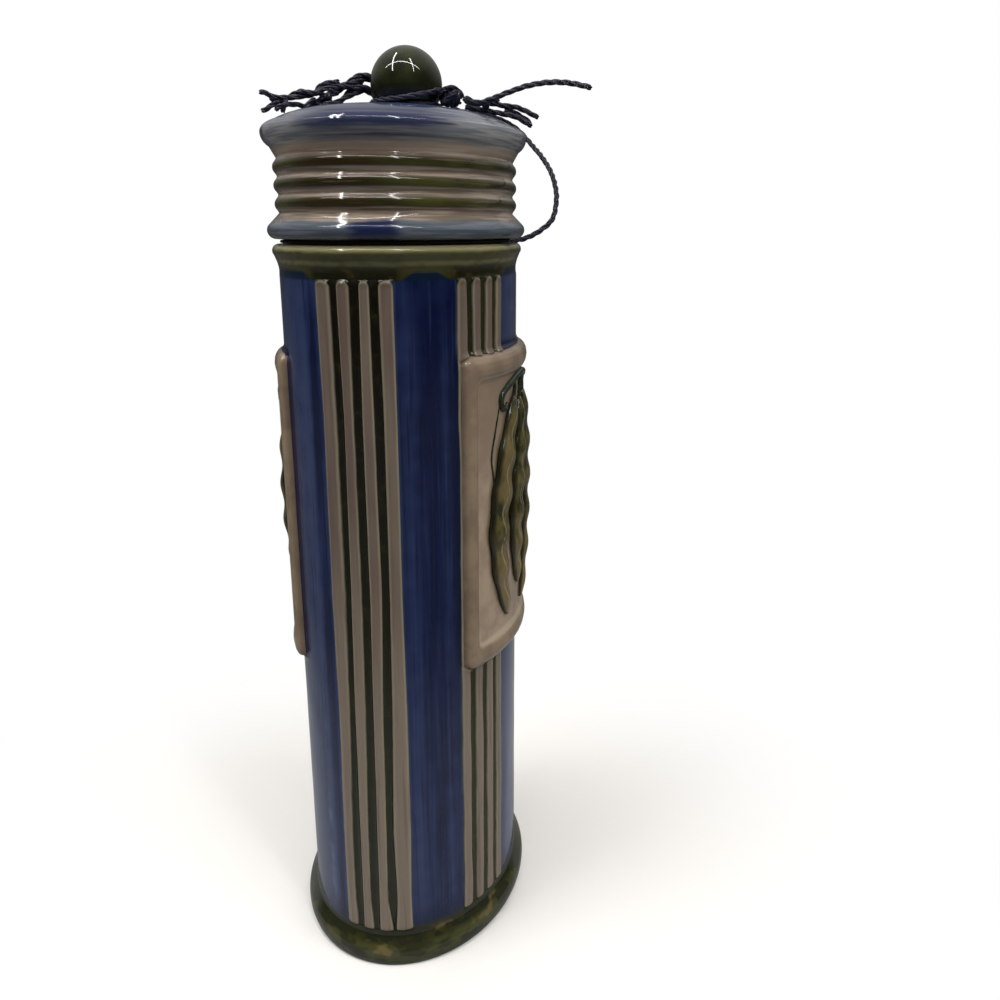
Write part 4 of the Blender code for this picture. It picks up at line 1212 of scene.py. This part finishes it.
# Twine: three waxed plies laid together, navy nearly black
twine = {
    "diameter": 1.8 * mm,
    "plyCount": 3,
    "plyRadius": 0.5 * mm,
    "plyOut": 0.47 * mm,
    "pitch": 10.8 * mm,
    "pairPitch": 19 * mm,
    "pairOut": 1.55 * mm,
    "pairEase": 3 * mm,
    "pairLeast": 0.35,
    "tipLength": 0.6 * mm,
    "tipLeast": 0.04,
    "fibreTwist": 1.5,
    "fibreLines": 7.0,
    "lineShare": 0.5,
    "knotSteps": 44,
    "knotLeast": 0.35 * mm,
    "knotDraw": 0.8,
    "knotSlant": 0.3,
    "step": 0.45 * mm,
    "sides": 9,
    "shader": {"Roughness": 0.42, "IOR": 1.45},
    "noises": {"fibres": (0.4 * mm, 0.4 * mm, 3.0), "worn": (3 * mm, 3 * mm, 2.0)},
    "bumps": {"lines": 0.06 * mm},
    "bumpStrength": 0.8,
    "dark": "#07070f",
    "light": "#2c2c40",
    # The lighter fibre lines are a painted highlight; the worn patches are lighter too
    "mixes": {"painted": ("dark", ("light", "lines", 0.1, 1.0, 0.7), ("light", "worn", 0.5, 0.75, 0.5))},
}
# Winding round the knob's foot, and its lead to the right knot
wrap = {
    "turns": 1.55,
    "startDeg": 38.0,
    "climbStartDeg": 532.0,
    "climbDeg": 11.0,
    "gap": 0.25 * mm,
    "offKnob": 0.3 * mm,
    "lead": ((-6.8, -15.6, 6.3), (-5.9, -17.0, 5.9)),
}
# Routes of the free strands, in millimetres from the lid's middle at the level of the knob's seat
routes = {
    "tail_right_long": (
        (-4.4, -24.3, 3.9), (-3.6, -26.6, 2.7), (-3.0, -31.3, 2.7), (-4.0, -36.0, 4.1),
        (-5.0, -41.4, 5.7), (-6.0, -46.7, 7.0), (-7.0, -53.3, 7.7), (-8.0, -59.5, 7.4),
        (-9.0, -65.0, 6.3), (-10.0, -68.3, 5.3),
    ),
    "tail_right_middle": (
        (-0.6, -24.2, 4.5), (2.0, -27.6, 3.1), (4.6, -32.3, 3.1), (6.4, -36.5, 2.5),
        (8.0, -40.8, 2.0), (9.2, -44.5, 0.6), (10.4, -48.2, -1.3),
    ),
    "tail_right_low": (
        (-1.4, -24.3, 1.4), (0.6, -29.1, 0.7), (2.0, -32.7, 0.2), (3.0, -37.6, -0.7),
        (3.8, -41.5, -1.6), (4.2, -44.9, -3.5), (4.4, -46.8, -4.6),
    ),
    "loop_right": (
        (0.8, -19.0, 1.7), (7.5, -21.0, 1.0), (15.0, -26.0, 0.9), (23.0, -32.0, -0.1),
        (28.6, -37.4, -2.9), (29.4, -41.6, -6.9), (26.0, -44.6, -9.9), (21.0, -47.8, -13.0),
        (14.0, -52.1, -18.4), (8.0, -54.7, -23.7), (3.0, -55.9, -28.9), (-2.0, -55.2, -35.3),
        (-5.4, -51.6, -39.1), (-8.6, -47.4, -41.5), (-11.8, -44.1, -42.4), (-16.8, -42.9, -42.5),
    ),
    "tail_left_upper": (
        (13.6, 6.6, 7.8), (12.1, 9.0, 10.7), (7.6, 12.9, 12.3), (4.0, 17.1, 10.8),
        (2.0, 21.6, 9.6), (0.0, 26.6, 8.4), (-2.0, 30.8, 6.4), (-3.0, 33.6, 5.9),
        (-4.0, 36.5, 5.4), (-5.0, 40.1, 5.4), (-6.0, 42.8, 5.5), (-7.0, 45.1, 6.6),
        (-8.0, 47.4, 7.1),
    ),
    "tail_left_lower": (
        (12.0, 9.0, 5.9), (9.8, 11.8, 7.6), (6.2, 13.9, 8.4), (4.0, 16.4, 7.3),
        (2.0, 19.5, 5.7), (0.0, 22.0, 4.1), (-1.0, 25.7, 3.4), (-1.4, 31.4, 2.4),
        (-3.0, 34.9, 3.1), (-6.6, 37.3, 2.9), (-8.4, 39.7, 2.1), (-8.6, 41.6, 0.9),
    ),
    "tail_left_short": (
        (13.4, 8.7, 2.7), (12.4, 13.4, 2.9), (10.0, 19.0, 3.3), (7.6, 23.0, 2.9),
        (5.4, 27.0, 1.7), (4.0, 30.5, 1.1),
    ),
    "tail_left_drop": (
        (-1.6, 29.2, 4.9), (-3.6, 30.0, 4.1), (-5.2, 31.0, 2.7), (-5.6, 31.6, 1.1),
    ),
}
knots = {
    # name: middle, half sizes, turns of the coil
    "knot_right": ((-3.0, -19.8, 4.2), (3.6, 4.0, 3.2), 4.5),
    "knot_rear": ((12.4, 5.4, 4.5), (2.6, 2.6, 2.6), 2.5),
    "knot_left": ((0.3, 25.6, 5.75), (1.4, 2.2, 1.2), 2.0),
}
# Small hitch where the right tails meet: middle, half sizes, turns
hitch = (0.3, -31.4, 2.1), (2.3, 1.6, 1.9), 2.0
# Strands that cross a knot's coil, from the lid's middle at the seat's level
crossings = {
    "knot_right": (
        (
            (-5.6, -16.6, 5.2), (-6.2, -18.6, 6.6), (-4.8, -20.8, 7.1), (-3.0, -22.8, 6.0),
            (-2.0, -23.6, 4.0),
        ),
        ((-6.0, -17.4, 2.4), (-6.6, -19.6, 3.6), (-5.8, -21.8, 5.2), (-3.8, -23.2, 5.6)),
    ),
}
# Second strands twisted along a tail: which tail, from where to where along it, and phase
companions = {
    "fold_upper": ("tail_left_upper", 0.0, 0.52, 0.5),
    "fold_upper_low": ("tail_left_upper", 0.04, 0.44, 3.4),
    "fold_lower": ("tail_left_lower", 0.02, 0.62, 1.5),
    "pair_left": ("tail_left_upper", 0.56, 0.92, 2.2),
    "pair_right": ("tail_right_middle", 0.0, 0.5, 1.0),
}
# Short cut ends beside the tails
ends = {
    "end_left_fork": ((-5.2, 40.6, 4.6), (-6.2, 43.0, 3.2), (-7.2, 45.2, 1.6), (-8.0, 47.0, 0.7)),
    "end_left_drop": ((-4.8, 38.6, 5.0), (-5.2, 39.4, 3.4), (-5.6, 39.8, 1.6), (-5.9, 39.7, 0.3)),
    "link_left": (
        (2.4, 20.6, 9.4), (1.4, 23.6, 7.9), (0.2, 26.2, 6.2), (-0.8, 29.0, 4.4),
        (-1.6, 31.6, 3.2),
    ),
    "fold_end_left": (
        (2.4, 21.4, 11.0), (1.2, 24.8, 10.6), (0.4, 27.4, 9.8), (-0.2, 28.8, 8.2),
        (-0.2, 27.6, 6.7), (0.6, 24.8, 6.6), (1.8, 21.6, 7.6),
    ),
    "fold_end_low": (
        (1.8, 24.2, 4.6), (0.4, 28.2, 3.8), (-0.6, 31.4, 2.6), (-0.6, 32.4, 1.0),
        (0.6, 30.8, -0.1), (2.2, 27.0, 1.0),
    ),
    "end_right_fork": ((6.6, -36.6, 1.2), (8.6, -40.2, 0.2), (9.8, -43.4, -1.6), (9.8, -45.6, -3.0)),
}


# Lines of fibre: a sine of the twist, seven to each turn, with a noise added; the lighter
# colour laid along them is a painted highlight
def twineWax():
    look = startMaterial("waxed_linen_twine", twine)
    _, _, tree, _, masks = look
    lay = addNode(tree, "Attribute", out=2, attribute_name="lay")
    lines = addNode(tree, "Math", {0: lay, 1: twine["fibreLines"]}, operation="MULTIPLY")
    lines = addNode(tree, "Math", {0: lines}, operation="SINE")
    lines = {0: lines, 1: twine["lineShare"], 2: masks["fibres"]}
    masks["lines"] = addNode(tree, "Math", lines, operation="MULTIPLY_ADD")
    return finishMaterial(*look)


# Plies: each a tube round a helix about the route, shared evenly round it; they draw in to a
# rounded tip; lay counts the fibres' own twist round each ply
def twistGrids(path):
    length, axes = lengthsAlong(path), carriedAxes(path)
    turn = fullTurn * length / twine["pitch"]
    toEnd = np.minimum(length, length[-1] - length)
    tip = np.sqrt(np.clip(toEnd / twine["tipLength"], twine["tipLeast"], 1))
    around = np.linspace(0, fullTurn, twine["sides"], endpoint=False)
    lay = {"lay": around[None] - twine["fibreTwist"] * turn[:, None]}
    grids = []
    for phase in np.arange(twine["plyCount"]) / twine["plyCount"] * fullTurn:
        ply = path + twine["plyOut"] * roundAbout(turn + phase, axes)
        grids.append((tubeGrid(ply, twine["plyRadius"] * tip, twine["sides"]), lay))
    return grids


# A path in metres from points in millimetres above the knob's seat
def fromSeat(points):
    return np.array(points) * mm + (0.0, 0.0, knobSeat)


def routed(points):
    return smoothRoute(fromSeat(points), twine["step"])


# Winding round the knob's foot: it climbs the ball a pitch each turn, then faster, and leaves it
def wrapPath():
    diameter, startDeg = twine["diameter"], wrap["startDeg"]
    reach = knobRadius + wrap["offKnob"] + diameter / 2
    start = math.acos((knobMiddle - knobSeat - diameter / 2) / reach)
    pitch = 2 * math.asin((diameter + wrap["gap"]) / 2 / reach)
    wound = np.linspace(0, wrap["turns"] * 360, round(wrap["turns"] * 60) + 1)
    climb = ease(wrap["climbStartDeg"], wrap["climbStartDeg"] + 90, wound + startDeg)
    rise = start + pitch * wound / 360 + math.radians(wrap["climbDeg"]) * climb
    around = np.radians(startDeg + wound)
    ring = np.stack([np.sin(rise) * np.cos(around), np.sin(rise) * np.sin(around), -np.cos(rise)], -1)
    ring = ring * reach + (0.0, knobAside, knobMiddle)
    return smoothRoute(np.concatenate([ring, fromSeat(wrap["lead"])]), twine["step"])


# Knot: a short coil about Y, slanted, that swells at its middle, inside the knot's half sizes
def knotPath(middle, halfSizes, turns):
    t = np.linspace(-1, 1, round(turns * twine["knotSteps"]))
    spin = math.pi * turns * t
    inner = np.maximum(np.array(halfSizes) * mm - twine["diameter"] / 2, twine["knotLeast"])
    swell = np.sqrt(1 - (twine["knotDraw"] * t) ** 2)
    slanted = t + twine["knotSlant"] * np.cos(spin)
    ball = np.stack([np.cos(spin) * swell, slanted, np.sin(spin) * swell], -1)
    return fromSeat(middle) + ball * inner


# Strand laid round another: a helix about the other's route from one share of its length to a
# later one, a little more than a diameter away
def companion(path, startShare, endShare, phase):
    count = len(path) - 1
    part = path[round(startShare * count) : round(endShare * count) + 1]
    length = np.arange(len(part)) * twine["step"]
    turn = fullTurn * length / twine["pairPitch"] + phase
    away = ease(0, twine["pairEase"], np.minimum(length, length[-1] - length))
    away = twine["pairOut"] * (twine["pairLeast"] + (1 - twine["pairLeast"]) * away)
    helix = part + away[:, None] * roundAbout(turn, carriedAxes(part))
    return smoothRoute(helix[::4], twine["step"])


waxedTwine = twineWax()
laid = {}


def layTwine(name, paths, nodeName=None):
    grids = [grid for path in paths for grid in twistGrids(path)]
    piece = addGrids(f"twine_{name}_laid", grids, waxedTwine, poleShare=0.0)
    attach(piece, "lid")
    if nodeName:
        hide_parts(nodeName)
    laid[name] = piece, paths[0]


for name, points in routes.items():
    layTwine(name, [routed(points)], f"twine_{name}")
layTwine("wrap", [wrapPath()], "twine_wrap")
for name, shape in knots.items():
    crossed = [routed(points) for points in crossings.get(name, ())]
    layTwine(name, [knotPath(*shape), *crossed], f"twine_{name}")
for name, (other, *stretch) in companions.items():
    layTwine(name, [companion(laid[other][1], *stretch)])
for name, points in ends.items():
    layTwine(name, [routed(points)])
layTwine("hitch_right", [knotPath(*hitch)])

print("twine laid")

# Studio: a pale floor that goes to white away from the object, a light room, and soft lamps
studio = {
    "floorSize": 6.0,
    "shader": {"Roughness": 0.9},
    "floor": "#ece9e4",
    "floorNear": 0.29,
    "floorFar": 0.09,
    "mixes": {
        "dimmed": ("near", ("far", "away", 0.09, 0.38, 1.0)),
        "painted": ("dimmed", ("floor", "seen", 0.0, 1.0, 1.0)),
    },
    "whiteFrom": 0.09,
    "whiteTo": 0.26,
    "fill": 0.31,
    "roomDark": 0.03,
    "roomLight": 0.34,
    "skirting": 0.05,
    "ceiling": 0.32,
    "lamps": {
        # name: place, size, watts, aims at
        "overhead": ((0.0, 0.0, 1.5), (1.0, 1.0), 3.0, (0.0, 0.0, 0.1)),
        "right": ((-0.3, -1.3, 0.9), (0.7, 0.9), 7.5, (0.0, 0.0, 0.15)),
        "left": ((-0.5, 1.3, 0.8), (0.7, 0.9), 3.5, (0.0, 0.0, 0.15)),
        "rear": ((1.4, 0.1, 0.9), (0.9, 0.9), 6.0, (0.0, 0.0, 0.15)),
    },
    "strips": {
        # name: one end, other end, width, light given off, dots along it (0 for a plain strip)
        "ceiling_strip": ((-0.62, -1.5, 1.5), (-0.62, 1.5, 1.5), 0.045, 60.0, 44),
        "left_strip": ((-1.05, 0.62, 1.05), (0.25, 0.48, 1.7), 0.03, 60.0, 0),
        "right_strip": ((-1.0, -0.9, 1.15), (-0.25, -0.28, 1.6), 0.025, 50.0, 0),
    },
    "stripTarget": (0.0, 0.0, 0.3),
}
white = (1.0, 1.0, 1.0, 1.0)


# 1 for rays that come from the camera, straight or through glass, and 0 for others
def seenStraight(tree):
    camera = addNode(tree, "LightPath", out="Is Camera Ray")
    through = addNode(tree, "LightPath", out="Is Transmission Ray")
    return addNode(tree, "Math", {0: camera, 1: through}, operation="MAXIMUM")


# From one value to another as the input goes from low to high, eased as 3t2 - 2t3
def eased(tree, source, low, high, first, last):
    settings = {0: source, 1: low, 2: high, 3: first, 4: last}
    return addNode(tree, "MapRange", settings, interpolation_type="SMOOTHSTEP")


def addFloor():
    look = startMaterial("matt_studio_floor", studio)
    _, material, tree, colours, masks = look
    masks["away"] = addNode(tree, "VectorMath", {0: masks["place"]}, out=1, operation="LENGTH")
    masks["seen"] = seenStraight(tree)
    colours["near"], colours["far"] = ((studio[key],) * 3 + (1.0,) for key in ("floorNear", "floorFar"))
    finishMaterial(*look)
    share = eased(tree, masks["away"], studio["whiteFrom"], studio["whiteTo"], 0.0, 1.0)
    share = addNode(tree, "Math", {0: share, 1: masks["seen"]}, operation="MULTIPLY")
    glow = addNode(tree, "Emission", {"Color": white, "Strength": 1.0})
    shaded = tree.nodes["Principled BSDF"].outputs[0]
    mixed = addNode(tree, "MixShader", {0: share, 1: shaded, 2: glow})
    tree.links.new(mixed, tree.nodes["Material Output"].inputs["Surface"])
    half = studio["floorSize"] / 2
    corners = np.array([(-half, -half, 0.0), (half, -half, 0.0), (half, half, 0.0), (-half, half, 0.0)])
    floor = addMesh("studioFloor", corners, [np.array([[0, 1, 2, 3]])], {}, material)


# Room: mirrored rays meet a wall that is lighter beyond the object than behind the camera, and
# a ceiling that is lighter the higher they go; all other rays meet an even fill
def addRoom():
    world = bpy.data.worlds.new("studioRoom")
    bpy.context.scene.world = world
    world.use_nodes = True
    tree = world.node_tree
    way = addNode(tree, "TexCoord")
    heading = math.radians(cameraFit["heading"])
    ahead = {0: way, 1: (math.cos(heading), math.sin(heading), 0.0)}
    ahead = addNode(tree, "VectorMath", ahead, out=1, operation="DOT_PRODUCT")
    upwards = addNode(tree, "SeparateXYZ", {0: way}, out=2)
    wall = eased(tree, ahead, -0.7, 0.75, studio["roomDark"], studio["roomLight"])
    wall = eased(tree, upwards, 0.0, 0.4, studio["skirting"], wall)
    ceiling = eased(tree, upwards, 0.25, 1.0, 0.0, studio["ceiling"])
    room = addNode(tree, "Math", {0: wall, 1: ceiling}, operation="ADD")
    glossy = {0: addNode(tree, "LightPath", out="Is Glossy Ray"), 2: studio["fill"], 3: room}
    glossy = addNode(tree, "Mix", glossy, data_type="FLOAT")
    strength = addNode(tree, "Mix", {0: seenStraight(tree), 2: glossy, 3: 1.0}, data_type="FLOAT")
    background = tree.nodes["Background"]
    background.inputs["Color"].default_value = white
    tree.links.new(strength, background.inputs["Strength"])


# Oblong area lamp that the camera doesn't see
def addLamp(name, size, watts):
    data = bpy.data.lights.new(name, "AREA")
    data.shape = "RECTANGLE"
    data.size, data.size_y = size
    data.energy = watts
    lamp = bpy.data.objects.new(name, data)
    lamp.visible_camera = False
    bpy.context.scene.collection.objects.link(lamp)
    return lamp


# Soft lamp that doesn't show in the gloss
def addSoftLamp(name, place, size, watts, target):
    lamp = addLamp(name, size, watts)
    lamp.location = place
    lamp.rotation_euler = (Vector(target) - Vector(place)).to_track_quat("-Z", "Y").to_euler()
    lamp.visible_glossy = False


# Strip lamp that shows in the gloss: its length lies from one end to the other and it faces the
# lid; dots are a sine along its length, let through where it is above nought
def addStrip(name, first, last, width, brightness, dots):
    first, last = Vector(first), Vector(last)
    length, along = (last - first).length, (last - first).normalized()
    facing = Vector(studio["stripTarget"]) - (first + last) / 2
    facing = (facing - along * facing.dot(along)).normalized()
    lamp = addLamp(name, (length, width), brightness * math.pi * length * width)
    lamp.matrix_world = Matrix((along, -facing.cross(along), -facing)).transposed().to_4x4()
    lamp.location = (first + last) / 2
    if dots:
        lamp.data.use_nodes = True
        tree = lamp.data.node_tree
        across = addNode(tree, "SeparateXYZ", {0: addNode(tree, "NewGeometry", out=5)})
        wave = addNode(tree, "Math", {0: across, 1: fullTurn * dots}, operation="MULTIPLY")
        wave = addNode(tree, "Math", {0: wave}, operation="SINE")
        share = addNode(tree, "Math", {0: wave, 1: 0.0}, operation="GREATER_THAN")
        tree.links.new(share, tree.nodes["Emission"].inputs["Strength"])


addFloor()
addRoom()
for lampName, settings in studio["lamps"].items():
    addSoftLamp(lampName, *settings)
for stripName, settings in studio["strips"].items():
    addStrip(stripName, *settings)
print("studio lit")
